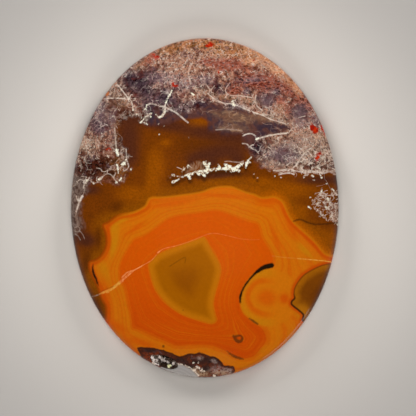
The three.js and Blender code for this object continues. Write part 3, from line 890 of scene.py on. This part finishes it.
def stone_fields(points, depth):
    """The fields that the material reads, by name: one number for each vertex, or three in a group."""
    spots = marking_spots(points)

    def grouped(measure, *markings):
        return np.column_stack([measure(spots, marking) for marking in markings])

    bands = grouped(from_outline, NODULE_WALL, RED_REGION, EYE)
    stems = [stroke for stroke in CORAL if len(stroke) > 3]
    coral = CORAL + teeth(np.random.default_rng(SEED), stems)
    under_coral = from_strokes(spots - (0, CAST_DROP), CORAL)
    over_stems = from_strokes(spots + (0, CAST_RISE), stems)
    fields = {
        "place": np.column_stack([spots, np.zeros(len(spots))]),
        "bands": bands,
        "growth": growth_lines(*bands.T),
        "zones": grouped(from_outline, PLUMES, PURPLE_BAND, LEFT_HAZE),
        "nodule": from_outline(spots, SIDE_NODULE),
        "pocket": np.column_stack([grouped(from_outline, POCKET_ZONE, GREY_LENS), depth / PIXEL]),
        "hues": grouped(in_patches, DARK_PURPLE, MAUVE, RUST),
        "tints": grouped(in_patches, PEACH, TAN, MAROON),
        "shades": grouped(in_patches, CREAM, GOLD, DIM),
        "lights": np.column_stack([grouped(in_patches, AMBER, SHADE), thread_density(spots)]),
        "glows": grouped(in_patches, YELLOW, RED_GLOW, LINED),
        "crumbs": grouped(in_patches, POCKET_PALE, POCKET_GREY, POCKET_DARK),
        "white": grouped(from_strokes, coral, BEADS, CRUST_BEADS),
        "marks": grouped(from_strokes, BLACK_STROKES, KNOT_STROKES, RED_SPOTS),
        "edges": grouped(from_strokes, RIM_AMBER, LENS_EDGE, COMB),
        "casts": np.column_stack([under_coral, over_stems, in_patches(spots, MIST)]),
        "ring": np.hypot(*((spots - RING_MIDDLE) * (RING_SQUEEZE, 1)).T),
        "rim": (1 - np.hypot(points[:, 0] / WIDTH, points[:, 1] / LENGTH) * 2) * MEAN_RADIUS / PIXEL,
        "ground": np.clip((GIRDLE_TOP - points[:, 2]) / (GIRDLE_TOP - BACK_BEVEL), 0, 1),
    }
    for name, fibres in fibre_layers(np.random.default_rng(SEED)).items():
        fields[name], fields[name + "_tone"] = from_fibres(spots, fibres)
    return fields


# Colours as the photograph shows them, in its own 0 to 255 numbers

BODY_BROWN = (122, 58, 5)
BODY_AMBER = (142, 72, 3)
BODY_SHADE = (96, 45, 6)
BODY_MAROON = (78, 38, 22)
HALO_OLIVE = (132, 69, 4)
HALO_GLOW = (178, 88, 3)

PLUME_GROUND = (112, 62, 46)
PLUME_PURPLE = (60, 44, 52)
PLUME_MAUVE = (116, 90, 94)
PLUME_RUST = (96, 34, 24)
PLUME_PEACH = (198, 124, 80)
PLUME_TAN = (134, 96, 70)
PLUME_MAROON = (64, 30, 18)
PLUME_CREAM = (106, 76, 62)
PLUME_GOLD = (134, 82, 38)
BAND_BROWN = (88, 54, 48)
WISP_TAN = (176, 138, 104)
HAZE_BROWN = (68, 50, 44)
HAZE_GREY = (124, 106, 96)
MIST_LILAC = (140, 112, 104)

THREAD = (192, 146, 118)
THREAD_PEACH = (232, 182, 142)
THREAD_RUST = (182, 100, 74)
THREAD_PURPLE = (142, 126, 130)
THREAD_RED = (186, 104, 78)
THREAD_BARE = (198, 178, 160)
THREAD_CREAM = (206, 178, 152)
THREAD_GOLD = (196, 124, 66)
PALE_FIBRE = (226, 212, 196)
WHITE_FIBRE = (240, 236, 214)
BEAD_TAN = (186, 160, 140)
CORAL_TAN = (172, 140, 110)
CORAL_FOG = (158, 124, 96)
# Painted shadow under the coral
CORAL_PAINTED_SHADOW = (54, 26, 8)

OCHRE = (203, 109, 11)
OCHRE_YELLOW = (190, 124, 13)
OCHRE_RED = (202, 84, 7)
WALL_RED = (192, 72, 5)
WALL_PALE = (188, 104, 9)
WALL_DARK = (154, 62, 4)
RED_BRIGHT = (206, 82, 5)
RED_DEEP = (196, 70, 5)
EYE_RIM = (188, 108, 10)
EYE_OLIVE = (161, 89, 3)
EYE_DARK = (143, 75, 4)

SIDE_RIM = (158, 90, 8)
SIDE_OLIVE = (120, 62, 6)
SIDE_DARK = (106, 52, 6)
SIDE_PALE = (172, 102, 12)
SIDE_EDGE = (84, 30, 8)
SIDE_EDGE_LOW = (48, 26, 10)
BLACK_BROWN = (34, 20, 8)
KNOT_BROWN = (82, 44, 14)
LINE_BROWN = (66, 32, 8)
CRACK_PINK = (236, 146, 84)
CRACK_YELLOW = (234, 172, 74)
CRACK_GREY = (176, 150, 130)
SPOT_RED = (150, 28, 16)
SPOT_ORANGE = (192, 46, 13)
RIM_ORANGE = (170, 88, 32)

POCKET_PURPLE = (84, 42, 28)
POCKET_RUST = (122, 50, 22)
POCKET_BROWN = (58, 28, 16)
# The pocket zone's black, also used as painted shade deep in its hollow
POCKET_BLACK = (36, 30, 28)
POCKET_TAN = (176, 144, 112)
POCKET_PALE_GREY = (158, 134, 124)
POCKET_MAUVE = (112, 84, 84)
LENS_GREY = (166, 159, 154)
LENS_DARK = (148, 142, 138)
LENS_SHADE = (74, 62, 52)
CRUST_PINK = (214, 176, 158)
QUARTZ_BROWN = (50, 34, 24)
QUARTZ_GREY = (116, 100, 88)
QUARTZ_PALE = (226, 214, 204)
QUARTZ_WHITE = (228, 214, 206)
QUARTZ_GLINT = (252, 248, 196)

FLOOR_PALE = (218, 211, 203)
FLOOR_DIM = (213, 206, 198)
# The floor's darker colour far from the stone: painted falloff of the light
FLOOR_PAINTED_FALLOFF = (176, 171, 166)


def linear(colour):
    """A colour of 0 to 255 numbers in linear light, with an alpha of 1."""
    parts = []
    for part in colour:
        part /= 255
        parts.append(part / 12.92 if part <= 0.04045 else ((part + 0.055) / 1.055) ** 2.4)
    return (*parts, 1)


class Paint:
    """A material whose nodes are made by plain calls, each of which gives back an output socket."""

    def __init__(self, name):
        self.material = bpy.data.materials.new(name)
        self.material.use_nodes = True
        self.tree = self.material.node_tree
        self.shader = self.tree.nodes["Principled BSDF"]
        coordinates = self.tree.nodes.new("ShaderNodeTexCoord")
        self.pixels = self.vector_maths("SCALE", coordinates.outputs["Object"], scale=1 / PIXEL)

    def feed(self, socket, value):
        if isinstance(value, bpy.types.NodeSocket):
            self.tree.links.new(value, socket)
        else:
            socket.default_value = value

    def finish(self, colour, roughness):
        self.feed(self.shader.inputs["Base Color"], colour)
        self.feed(self.shader.inputs["Roughness"], roughness)
        return self.material

    def maths(self, operation, *values):
        node = self.tree.nodes.new("ShaderNodeMath")
        node.operation = operation
        for socket, value in zip(node.inputs, values):
            self.feed(socket, value)
        return node.outputs[0]

    def times(self, first, *others):
        for other in others:
            first = self.maths("MULTIPLY", first, other)
        return first

    def most(self, first, *others):
        for other in others:
            first = self.maths("MAXIMUM", first, other)
        return first

    def stretched(self, value, factor, start):
        """A value times a factor, from a start that is added."""
        return self.maths("MULTIPLY_ADD", value, factor, start)

    def distance(self, x, y):
        """The length of a way that goes x across and y down."""
        return self.maths("SQRT", self.maths("MULTIPLY_ADD", x, x, self.times(y, y)))

    def vector_maths(self, operation, *values, scale=None):
        node = self.tree.nodes.new("ShaderNodeVectorMath")
        node.operation = operation
        for socket, value in zip(node.inputs, values):
            self.feed(socket, value)
        if scale is not None:
            self.feed(node.inputs["Scale"], scale)
        return node.outputs["Value" if operation == "LENGTH" else "Vector"]

    def ease(self, value, low, high):
        """0 up to low and 1 from high, smoothly between, or the other way round where low is above high."""
        node = self.tree.nodes.new("ShaderNodeMapRange")
        node.interpolation_type = "SMOOTHSTEP"
        falls = low > high
        self.feed(node.inputs["Value"], value)
        node.inputs["From Min"].default_value = min(low, high)
        node.inputs["From Max"].default_value = max(low, high)
        node.inputs["To Min"].default_value = 1 if falls else 0
        node.inputs["To Max"].default_value = 0 if falls else 1
        return node.outputs["Result"]

    def mix(self, share, first, second, strength=1):
        """From the first colour to the second, by a share that a strength can lower."""
        if strength != 1:
            share = self.times(share, strength)
        node = self.tree.nodes.new("ShaderNodeMix")
        node.data_type = "RGBA"
        self.feed(node.inputs[0], share)
        for socket, value in ((node.inputs[6], first), (node.inputs[7], second)):
            self.feed(socket, linear(value) if isinstance(value, tuple) else value)
        return node.outputs[2]

    def layered(self, colour, *layers):
        """A colour under others. Each layer has its share, its colour and, where it isn't 1, its strength."""
        for share, *layer in layers:
            colour = self.mix(share, colour, *layer)
        return colour

    def grained(self, colour, grain, contrast, darkest):
        """A colour made darker and lighter by a grain of 0 to 1."""
        return self.vector_maths("SCALE", colour, scale=self.stretched(grain, contrast, darkest))

    def attribute(self, name, output):
        node = self.tree.nodes.new("ShaderNodeAttribute")
        node.attribute_name = name
        return node.outputs[output]

    def field(self, name):
        return self.attribute(name, "Fac")

    def fields(self, name):
        split = self.tree.nodes.new("ShaderNodeSeparateXYZ")
        self.feed(split.inputs[0], self.attribute(name, "Vector"))
        return split.outputs[0], split.outputs[1], split.outputs[2]

    def texture(self, kind, place, size, **settings):
        """A texture node whose features are about so many photograph pixels across."""
        node = self.tree.nodes.new(kind)
        self.feed(node.inputs["Scale"], 1 / size)
        for name, value in settings.items():
            self.feed(node.inputs[name], value)
        self.feed(node.inputs["Vector"], place)
        return node

    def noise(self, size, detail=2.0, distortion=0.0, shift=0.0, place=None):
        """Noise from 0 to 1."""
        place = self.pixels if place is None else place
        if shift:
            place = self.vector_maths("ADD", place, (shift, shift * 0.7, -shift))
        node = self.texture("ShaderNodeTexNoise", place, size, Detail=detail, Distortion=distortion)
        return node.outputs["Fac"]

    def cloudy(self, low, high, *noise):
        """Noise as a mask, eased between two of its values."""
        return self.ease(self.noise(*noise), low, high)

    def warped(self, size, height, shift=0.0):
        """The place in pixels, pushed about by noise, for shapes that curl."""
        place = self.vector_maths("ADD", self.pixels, (shift, -shift, shift))
        node = self.texture("ShaderNodeTexNoise", place, size, Detail=2)
        push = self.vector_maths("SUBTRACT", node.outputs["Color"], (0.5, 0.5, 0.5))
        return self.vector_maths("ADD", self.pixels, self.vector_maths("SCALE", push, scale=2 * height))

    def flattened(self, place, across, along=1):
        """A place by which a texture is drawn out, across or along, where a number is below 1."""
        return self.vector_maths("MULTIPLY", place, (across, along, 1))

    def threads(self, place, size, thickness, shift=0.0):
        """Threads so thick, joined in a net of cells of a size, as a mask."""
        place = self.vector_maths("ADD", place, (shift, shift, -shift))
        node = self.texture("ShaderNodeTexVoronoi", place, size)
        node.feature = "DISTANCE_TO_EDGE"
        return self.ease(node.outputs["Distance"], thickness / size, 0.2 * thickness / size)

    def hairs(self, place, size, thickness, shift=0.0):
        """Curly hairs, along which smooth noise has its middle value, as a mask."""
        away = self.maths("ABSOLUTE", self.maths("SUBTRACT", self.noise(size, 1.0, 0.0, shift, place), 0.5))
        return self.ease(away, thickness, 0.25 * thickness)

    def rough_edge(self, distance, size, height, shift=0.0):
        """A distance made uneven, so that an outline that it gives is ragged."""
        ragged = self.maths("SUBTRACT", self.noise(size, 3.0, 0.4, shift), 0.5)
        return self.stretched(ragged, 2 * height, distance)

    def within(self, distance, far, near, *roughness):
        """A mask with a ragged edge: 0 from the far value of a distance on, and 1 up to the near one."""
        return self.ease(self.rough_edge(distance, *roughness), far, near)


def painted_rim_shade(paint, colour, strength):
    """Painted shade: darkens a colour towards the stone's rim, where the polish rolls over."""
    near = paint.ease(paint.field("rim"), 5.5, 0.5)
    return paint.grained(colour, near, -strength, 1)


def paint_body(paint):
    amber, shade, _ = paint.fields("lights")
    _, _, maroon = paint.fields("tints")
    wall, _, _ = paint.fields("bands")
    halo = paint.ease(wall, 16, 2)
    glow = paint.times(paint.ease(wall, 9, -1), paint.ease(paint.level, *HALO_GLOW_ACROSS))
    colour = paint.layered(
        BODY_SHADE, (paint.noise(16, 3, 1, 40), BODY_BROWN), (halo, HALO_OLIVE), (amber, BODY_AMBER),
        (shade, BODY_SHADE), (maroon, BODY_MAROON), (glow, HALO_GLOW, 0.85))
    colour = paint.grained(colour, paint.noise(1.8, 2, 0.2), 0.9, 0.55)
    # Painted shade towards the rim
    return painted_rim_shade(paint, colour, 0.5)


# The plumes

def fibre_mask(paint, name, soft=1.25, ragged=0.9):
    """Where fibres lie. Their edges are ragged and their tone is uneven, as broken threads look."""
    x, y, length = paint.fields(name)
    uneven = paint.maths("SUBTRACT", paint.noise(2.2, 2, 0.3, 19), 0.5)
    across = paint.stretched(uneven, ragged, paint.distance(x, y))
    worn = paint.stretched(paint.cloudy(0.3, 0.6, 3, 2, 0, 88), ragged * 0.5, 1 - ragged * 0.5)
    mask = paint.times(paint.ease(across, soft, 0.35), paint.ease(length, 3.4, 2.2))
    return paint.times(mask, worn, paint.field(name + "_tone"))


def plume_ground(paint):
    purple, mauve, rust = paint.fields("hues")
    peach, tan, maroon = paint.fields("tints")
    cream, gold, dim = paint.fields("shades")
    drift = paint.noise(8, 3, 1, 13)
    colour = paint.layered(
        PLUME_GROUND, (rust, PLUME_RUST), (peach, PLUME_PEACH), (tan, PLUME_TAN), (gold, PLUME_GOLD),
        (cream, PLUME_CREAM, 0.8), (mauve, PLUME_MAUVE), (maroon, PLUME_MAROON), (purple, PLUME_PURPLE),
        (paint.ease(drift, 0.52, 0.70), PLUME_MAUVE, 0.6), (paint.ease(drift, 0.46, 0.3), PLUME_RUST, 0.6))
    grain = paint.cloudy(0.30, 0.70, 2.6, 2, 0.8, 5)
    return paint.grained(colour, grain, paint.stretched(dim, -0.45, 0.90), paint.stretched(dim, 0.25, 0.28))


def plume_net(paint):
    """Fine tangled threads, too many to draw one by one. In the rust they run nearly level, side by side."""
    _, _, rust = paint.fields("hues")
    _, _, density = paint.fields("lights")
    curled = paint.warped(7, 5)
    tight = paint.warped(3.4, 2.4, 30)
    coarse = paint.threads(curled, 9, 0.55, 10)
    middle = paint.hairs(tight, 7, 0.050, 50)
    finest = paint.times(paint.hairs(curled, 3.4, 0.075, 170), 0.8)
    fine = paint.most(paint.hairs(tight, 4.4, 0.065, 90), paint.hairs(curled, 5.4, 0.055, 130), finest)
    breaks = paint.maths("ADD", paint.noise(5, 2, 0.3, 90), paint.stretched(density, 0.5, -0.28))
    net = paint.most(
        paint.times(coarse, paint.ease(breaks, 0.36, 0.58)),
        paint.times(middle, paint.ease(breaks, 0.36, 0.62)),
        paint.times(fine, paint.ease(breaks, 0.32, 0.62), 0.75))
    combed = paint.threads(paint.flattened(paint.warped(9, 3.5, 64), 0.26), 3.6, 0.62, 12)
    return paint.most(
        paint.times(net, paint.ease(rust, 1.4, 0.5)), paint.times(combed, paint.ease(rust, 0.35, 0.9), 0.7))


def thread_colour(paint):
    purple, mauve, rust = paint.fields("hues")
    peach, _, maroon = paint.fields("tints")
    cream, gold, _ = paint.fields("shades")
    specks = paint.noise(2, 2, 0, 140)
    return paint.layered(
        THREAD, (paint.ease(rust, 0, 0.8), THREAD_RUST), (peach, THREAD_PEACH), (gold, THREAD_GOLD, 0.8),
        (cream, THREAD_CREAM, 0.8), (maroon, THREAD_BARE), (mauve, THREAD_PURPLE, 0.5),
        (paint.ease(specks, 0.53, 0.64), THREAD_RED, 0.7),
        (paint.ease(specks, 0.45, 0.36), THREAD_PURPLE, 0.5), (purple, THREAD_PURPLE, 0.8))


def paint_purple_band(paint, colour):
    _, band, _ = paint.fields("zones")
    _, tan, _ = paint.fields("tints")
    amber, _, _ = paint.fields("lights")
    wisps = paint.cloudy(0.48, 0.64, 3.2, 3, 0.4, 25, paint.flattened(paint.warped(14, 5, 5), 0.32))
    purple = paint.layered(
        PLUME_PURPLE, (paint.cloudy(0.4, 0.6, 9, 3, 1, 33), BAND_BROWN), (tan, PLUME_TAN, 0.6),
        (paint.times(wisps, tan), WISP_TAN, 0.62))
    purple = paint.grained(purple, paint.noise(3, 3, 0.6, 60), 0.9, 0.55)
    edge = paint.stretched(amber, 9, paint.rough_edge(band, 12, 7, 8))
    return paint.mix(paint.ease(edge, 4, -4), colour, purple)


def paint_tangle(paint, colour, fibre):
    plumes, _, _ = paint.fields("zones")
    _, _, rust = paint.fields("hues")
    _, _, dim = paint.fields("shades")
    net = paint.times(plume_net(paint), paint.stretched(dim, -0.4, 0.85))
    lit = paint.times(paint.cloudy(0.52, 0.66, 2.3, 2, 0.5, 84), paint.ease(rust, 1.6, 0.2))
    tangle = paint.mix(net, plume_ground(paint), paint.mix(lit, fibre, PALE_FIBRE, 0.8))
    return paint.mix(paint.within(plumes, 3.2, -3.2, 6, 7, 21), colour, tangle)


def paint_haze(paint, colour):
    _, _, haze = paint.fields("zones")
    _, _, mist = paint.fields("casts")
    hazy = paint.mix(paint.cloudy(0.30, 0.66, 6, 2, 1.6, 57), HAZE_BROWN, HAZE_GREY)
    misty = paint.times(mist, paint.cloudy(0.36, 0.62, 3, 3, 1, 79))
    return paint.layered(colour, (paint.within(haze, 4, -5, 9, 6, 50), hazy, 0.85), (misty, MIST_LILAC, 0.6))


def paint_fibres(paint, colour, fibre):
    _, _, rust = paint.fields("hues")
    paler = paint.ease(rust, 1.2, 0.1)
    for name in ("fibres_b", "fibres_a"):
        mask = fibre_mask(paint, name)
        pale = paint.mix(paint.times(mask, paler), fibre, PALE_FIBRE)
        colour = paint.mix(mask, colour, pale, 0.9)
    return colour


def paint_coral(paint, colour):
    coral, beads, _ = paint.fields("white")
    below, above, _ = paint.fields("casts")
    _, _, comb = paint.fields("edges")
    combing = paint.cloudy(0.34, 0.62, 1.5, 1, 0.3, 12, paint.flattened(paint.pixels, 1, 0.3))
    outer = paint.ease(paint.maths("SUBTRACT", above, coral), 0.8, 3)
    whiter = paint.most(outer, paint.ease(paint.level, *WHITER_CORAL_ACROSS))
    chalk = paint.mix(paint.times(paint.cloudy(0.36, 0.54, 2, 2, 0, 15), whiter), CORAL_TAN, WHITE_FIBRE)
    pearl = paint.mix(paint.cloudy(0.34, 0.56, 2.4, 2, 0, 17), BEAD_TAN, WHITE_FIBRE)
    coral = paint.within(paint.rough_edge(coral, 3.2, 1.4, 41), 0.3, -0.7, 1.4, 0.8, 43)
    beads = paint.within(paint.rough_edge(beads, 2.4, 1.2, 47), 0.25, -0.75, 1.2, 1.4, 49)
    # A painted shadow darkens the stone just under the coral
    return paint.layered(
        colour, (paint.times(paint.ease(comb, 1.6, -1.6), combing), CORAL_FOG, 0.65),
        (paint.within(below, 2.2, -1.2, 3, 1.2, 39), CORAL_PAINTED_SHADOW, 0.65), (coral, chalk), (beads, pearl))


# The orange nodule

def band_noise(paint, value, scale, shift):
    """Noise that changes only with the value, so that it makes bands."""
    node = paint.tree.nodes.new("ShaderNodeTexNoise")
    node.noise_dimensions = "1D"
    node.inputs["Scale"].default_value = scale
    node.inputs["Detail"].default_value = 2
    paint.feed(node.inputs["W"], paint.maths("ADD", value, shift))
    return node.outputs["Fac"]


def lobe_rings(paint, colour):
    """Rings in the lobe beside the crescent, which open to the right, and the small red-orange knot."""
    ring = paint.rough_edge(paint.field("ring"), 16, 2.5, 3)
    inside = paint.ease(ring, 31, 27)
    outer = paint.times(paint.ease(ring, 18, 24), inside)
    outer = paint.times(outer, paint.ease(paint.level, *LOBE_YELLOW_ACROSS))
    arc = paint.times(paint.ease(ring, 13, 16), paint.ease(ring, 21, 17))
    arc = paint.times(arc, paint.ease(paint.level, *LOBE_ARC_ACROSS))
    knot_x, knot_y = RED_KNOT_AT
    across = paint.maths("ADD", paint.level, -knot_x)
    down = paint.maths("ADD", paint.vertical, -knot_y)
    knot = paint.within(paint.distance(down, across), 5.5, 1.5, 8, 1.5, 41)
    return paint.layered(
        colour, (inside, OCHRE), (outer, OCHRE_YELLOW, 0.5), (knot, WALL_RED, 0.9), (arc, OCHRE_RED, 0.75),
        (paint.ease(ring, 12, 4), OCHRE_RED, 0.8))


def ochre_bands(paint, stripes, fine):
    """The ochre between the nodule's wall and its red region, with the lines along the wall."""
    wall, _, _ = paint.fields("bands")
    yellow, glow, _ = paint.fields("glows")
    colour = paint.layered(
        OCHRE, (paint.ease(stripes, 0.40, 0.66), OCHRE_RED, 0.55),
        (paint.ease(fine, 0.48, 0.68), OCHRE_RED, 0.22), (yellow, OCHRE_YELLOW, 0.75))
    line = paint.times(paint.ease(wall, -6.8, -3.6), paint.ease(wall, -1.2, -3.4))
    line = paint.times(line, paint.ease(paint.vertical, *WALL_LINE_DOWN))
    pale = paint.times(paint.ease(wall, -2.4, -0.6), paint.ease(paint.level, *WALL_PALE_ACROSS))
    dark = paint.times(paint.ease(wall, -3.4, -0.4), paint.ease(paint.level, *WALL_DARK_ACROSS))
    return paint.layered(
        lobe_rings(paint, colour), (glow, OCHRE_RED, 0.85), (line, WALL_RED, 0.8), (pale, WALL_PALE),
        (dark, WALL_DARK))


def red_bands(paint, waver, stripes, fine):
    """The red region, finely lined in places."""
    _, _, lined = paint.fields("glows")
    close = paint.times(paint.ease(band_noise(paint, waver, 22, 55), 0.46, 0.60), lined)
    wide = paint.times(paint.ease(band_noise(paint, waver, 13, 75), 0.50, 0.64), lined)
    return paint.layered(
        RED_BRIGHT, (paint.ease(paint.vertical, *RED_DEEP_DOWN), RED_DEEP),
        (paint.ease(fine, 0.45, 0.68), OCHRE_RED, 0.55), (paint.ease(stripes, 0.56, 0.72), OCHRE, 0.4),
        (close, OCHRE_RED, 0.65), (wide, OCHRE, 0.4))


def nodule_bands(paint):
    """The whole orange nodule: ochre, red region and olive eye."""
    _, red, eye = paint.fields("bands")
    waver = paint.stretched(paint.noise(18, 3, 0.5, 7), 0.10, paint.field("growth"))
    stripes = band_noise(paint, waver, 9, 2)
    fine = band_noise(paint, waver, 34, 31)
    core = paint.ease(paint.stretched(paint.noise(22, 2, 0.4, 17), 14, eye), -6, -20)
    core = paint.times(core, paint.ease(paint.vertical, *EYE_DARK_DOWN))
    olive = paint.layered(EYE_RIM, (paint.ease(eye, -1.5, -9), EYE_OLIVE), (core, EYE_DARK))
    colour = paint.layered(
        ochre_bands(paint, stripes, fine),
        (paint.within(red, 2.2, -1.8, 16, 1.6, 29), red_bands(paint, waver, stripes, fine)),
        (paint.ease(eye, 2.2, -1.6), olive))
    colour = paint.grained(colour, paint.noise(2.6, 3, 0.3, 44), 0.22, 0.89)
    # Painted shade towards the rim
    return painted_rim_shade(paint, colour, 0.25)


def paint_side_nodule(paint, colour):
    side = paint.field("nodule")
    yellow, _, _ = paint.fields("glows")
    low = paint.ease(paint.vertical, *SIDE_BLACK_DOWN)
    deep = paint.ease(paint.stretched(paint.noise(14, 2, 0.5, 23), 10, side), -5, -18)
    inner = paint.layered(
        SIDE_RIM, (paint.ease(side, -2, -9), SIDE_OLIVE), (yellow, SIDE_PALE), (deep, SIDE_DARK))
    # The side nodule's inner part also gets painted shade towards the rim
    inner = painted_rim_shade(paint, paint.grained(inner, paint.noise(4, 3, 0.4, 66), 0.4, 0.8), 0.5)
    away = paint.stretched(low, -0.25, paint.maths("ABSOLUTE", side))
    edge = paint.times(paint.ease(away, 1.2, 0.2), paint.stretched(low, 0.35, 0.55))
    return paint.layered(
        colour, (paint.ease(side, 5, 1.5), WALL_RED, 0.9), (paint.ease(side, 0.6, -0.6), inner),
        (edge, paint.mix(low, SIDE_EDGE, SIDE_EDGE_LOW)))


def paint_marks(paint, colour):
    """The knots, black strokes, red spots, the rim's amber, the healed crack and the dark lines."""
    black, knots, red = paint.fields("marks")
    amber, _, _ = paint.fields("edges")
    wall, red_region, _ = paint.fields("bands")
    spots = paint.within(paint.rough_edge(red, 3, 2.4, 9), 0.5, -0.7, 1.4, 2.4, 11)
    lively = paint.mix(paint.cloudy(0.42, 0.62, 3.4, 2, 0.3, 81), SPOT_RED, SPOT_ORANGE)
    healed = paint.layered(
        CRACK_PINK, (paint.ease(red_region, 0, 2), CRACK_YELLOW), (paint.ease(wall, -1, 1), CRACK_GREY))
    return paint.layered(
        colour, (paint.within(knots, 1.1, -0.5, 1.8, 0.8, 35), KNOT_BROWN, 0.8),
        (paint.within(black, 1.1, -0.7, 3, 0.5, 97), BLACK_BROWN), (spots, lively),
        (paint.within(amber, 0.8, -0.8, 2, 1.2, 83), RIM_ORANGE),
        (fibre_mask(paint, "crack", 1.7, 1.3), healed),
        (fibre_mask(paint, "dark_line", 2.8, 0.8), LINE_BROWN, 0.7))


def paint_pocket(paint, colour):
    zone, lens, depth = paint.fields("pocket")
    _, _, crust = paint.fields("white")
    _, lens_edge, _ = paint.fields("edges")
    pale, grey, dark = paint.fields("crumbs")
    zone = paint.rough_edge(zone, 5, 1.2, 14)
    uneven = paint.cloudy(0.3, 0.66, 2.4, 3, 0.6, 71)
    inner = paint.layered(
        POCKET_PURPLE, (paint.cloudy(0.42, 0.60, 5, 3, 1.5, 28), POCKET_RUST),
        (paint.cloudy(0.56, 0.66, 6, 3, 1.2, 37), POCKET_MAUVE, 0.6), (dark, POCKET_BLACK, 0.9),
        (paint.times(grey, uneven), POCKET_PALE_GREY), (paint.times(pale, uneven), POCKET_TAN))
    inner = paint.grained(inner, paint.noise(2.4, 2, 0.4, 73), 0.8, 0.58)
    inner = paint.mix(paint.ease(zone, -3.4, -0.8), inner, POCKET_BROWN, 0.8)
    layers = paint.maths("FRACT", paint.times(lens, 0.32))
    chalcedony = paint.mix(paint.ease(layers, 0.3, 0.7), LENS_GREY, LENS_DARK, 0.4)
    beads = paint.mix(paint.noise(4, 2, 0, 52), CRUST_PINK, WHITE_FIBRE)
    # Deep in the pressed-in pocket the colour goes to black: painted shade in the hollow
    return paint.layered(
        colour, (paint.ease(zone, 0.7, -0.7), inner), (paint.ease(lens, 0.6, -0.6), chalcedony),
        (paint.ease(lens_edge, 1, -0.4), LENS_SHADE, 0.8), (paint.ease(depth, 0.1, 1.5), POCKET_BLACK),
        (paint.within(crust, 0.5, -0.5, 1.4, 1.5, 53), beads))


# Materials and pieces

def add_scratches(paint, finish):
    """Fine relief on the ground back and girdle, with none on the polish."""
    bump = paint.tree.nodes.new("ShaderNodeBump")
    bump.inputs["Strength"].default_value = SCRATCH_STRENGTH
    bump.inputs["Distance"].default_value = SCRATCH_DEPTH
    paint.feed(bump.inputs["Height"], paint.times(paint.noise(1.6, 3, 0, 61), finish))
    paint.feed(paint.shader.inputs["Normal"], bump.outputs[0])


def agate_material():
    paint = Paint("agate")
    paint.level, paint.vertical, _ = paint.fields("place")
    wall, _, _ = paint.fields("bands")
    fibre = thread_colour(paint)
    colour = paint_purple_band(paint, paint_body(paint))
    colour = paint_tangle(paint, colour, fibre)
    colour = paint_haze(paint, colour)
    colour = paint_fibres(paint, colour, fibre)
    colour = paint_coral(paint, colour)
    colour = paint.mix(paint.ease(wall, 1.5, -1), colour, nodule_bands(paint))
    colour = paint_side_nodule(paint, colour)
    colour = paint_marks(paint, colour)
    colour = paint_pocket(paint, colour)
    finish = paint.field("ground")
    polish = paint.stretched(paint.noise(30, 3, 0, 77), 0.05, 0.05)
    add_scratches(paint, finish)
    paint.shader.inputs["IOR"].default_value = QUARTZ_IOR
    paint.shader.inputs["Specular IOR Level"].default_value = AGATE_SPECULAR
    return paint.finish(colour, paint.stretched(finish, 0.42, polish))


def quartz_material():
    paint = Paint("quartz")
    tint = paint.noise(6, 3, 0.6)
    colour = paint.layered(
        QUARTZ_BROWN, (paint.ease(tint, 0.44, 0.66), QUARTZ_GREY),
        (paint.cloudy(0.60, 0.68, 2.4, 2, 0, 20), QUARTZ_PALE))
    # Painted shade in the hollow's middle and a painted glint on one crystal, then the white crystals
    spots = [(HOLLOW_SHADE_AT, (5.5, 2.5), QUARTZ_BROWN), (GLINT_AT, (2.6, 1.3), QUARTZ_GLINT)]
    spots += [(at, (1.9, 0.9), QUARTZ_WHITE) for at in BRIGHT_CRYSTALS]
    place = paint.warped(2.6, 1.9, 93)
    for (x, y), reach, spot in spots:
        away = paint.vector_maths("SUBTRACT", place, (x - OVAL_MIDDLE[0], OVAL_MIDDLE[1] - y, 0))
        away = paint.vector_maths("LENGTH", paint.vector_maths("MULTIPLY", away, (1, 1, 0)))
        colour = paint.mix(paint.ease(away, *reach), colour, spot)
    paint.shader.inputs["IOR"].default_value = QUARTZ_IOR
    return paint.finish(colour, paint.stretched(tint, 0.2, 0.05))


def floor_material():
    paint = Paint("pale_card")
    cloud = paint.noise(160, 2)
    from_stone = paint.vector_maths("LENGTH", paint.pixels)
    # Painted pool of light: the floor darkens away from the stone
    far = paint.ease(from_stone, *PAINTED_FLOOR_FALLOFF_AWAY)
    colour = paint.layered(FLOOR_DIM, (cloud, FLOOR_PALE), (far, FLOOR_PAINTED_FALLOFF))
    return paint.finish(colour, paint.stretched(cloud, 0.1, 0.75))


def make_stone():
    points, faces, places, depth = stone_shape()
    mesh = bpy.data.meshes.new("polished_agate")
    mesh.from_pydata(points.tolist(), [], faces)
    mesh.uv_layers.new(name="OFBake").data.foreach_set("uv", places.astype(np.float32).ravel())
    for name, values in stone_fields(points, depth).items():
        kind, slot = ("FLOAT", "value") if values.ndim == 1 else ("FLOAT_VECTOR", "vector")
        attribute = mesh.attributes.new(name, kind, "POINT")
        attribute.data.foreach_set(slot, values.astype(np.float32).ravel())
    mesh.polygons.foreach_set("use_smooth", [True] * len(mesh.polygons))
    stone = bpy.data.objects.new("polished_agate", mesh)
    bpy.context.collection.objects.link(stone)
    mesh.materials.append(agate_material())
    mesh.set_sharp_from_angle(angle=math.radians(30))
    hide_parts("agate_stone")
    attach(stone, "root")


def dress_crust():
    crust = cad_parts["crystal_crust"]
    crust.data.materials.clear()
    crust.data.materials.append(quartz_material())


def make_floor():
    half = FLOOR_SIZE / 2
    mesh = bpy.data.meshes.new("floor")
    corners = [(-half, -half, 0), (half, -half, 0), (half, half, 0), (-half, half, 0)]
    mesh.from_pydata(corners, [], [(0, 1, 2, 3)])
    floor = bpy.data.objects.new("floor", mesh)
    floor.location.z = -FLOOR_GAP
    mesh.materials.append(floor_material())
    bpy.context.collection.objects.link(floor)


bpy.context.scene.view_settings.view_transform = "Standard"
make_camera()
make_lights()
make_surroundings()
make_floor()
make_stone()
dress_crust()
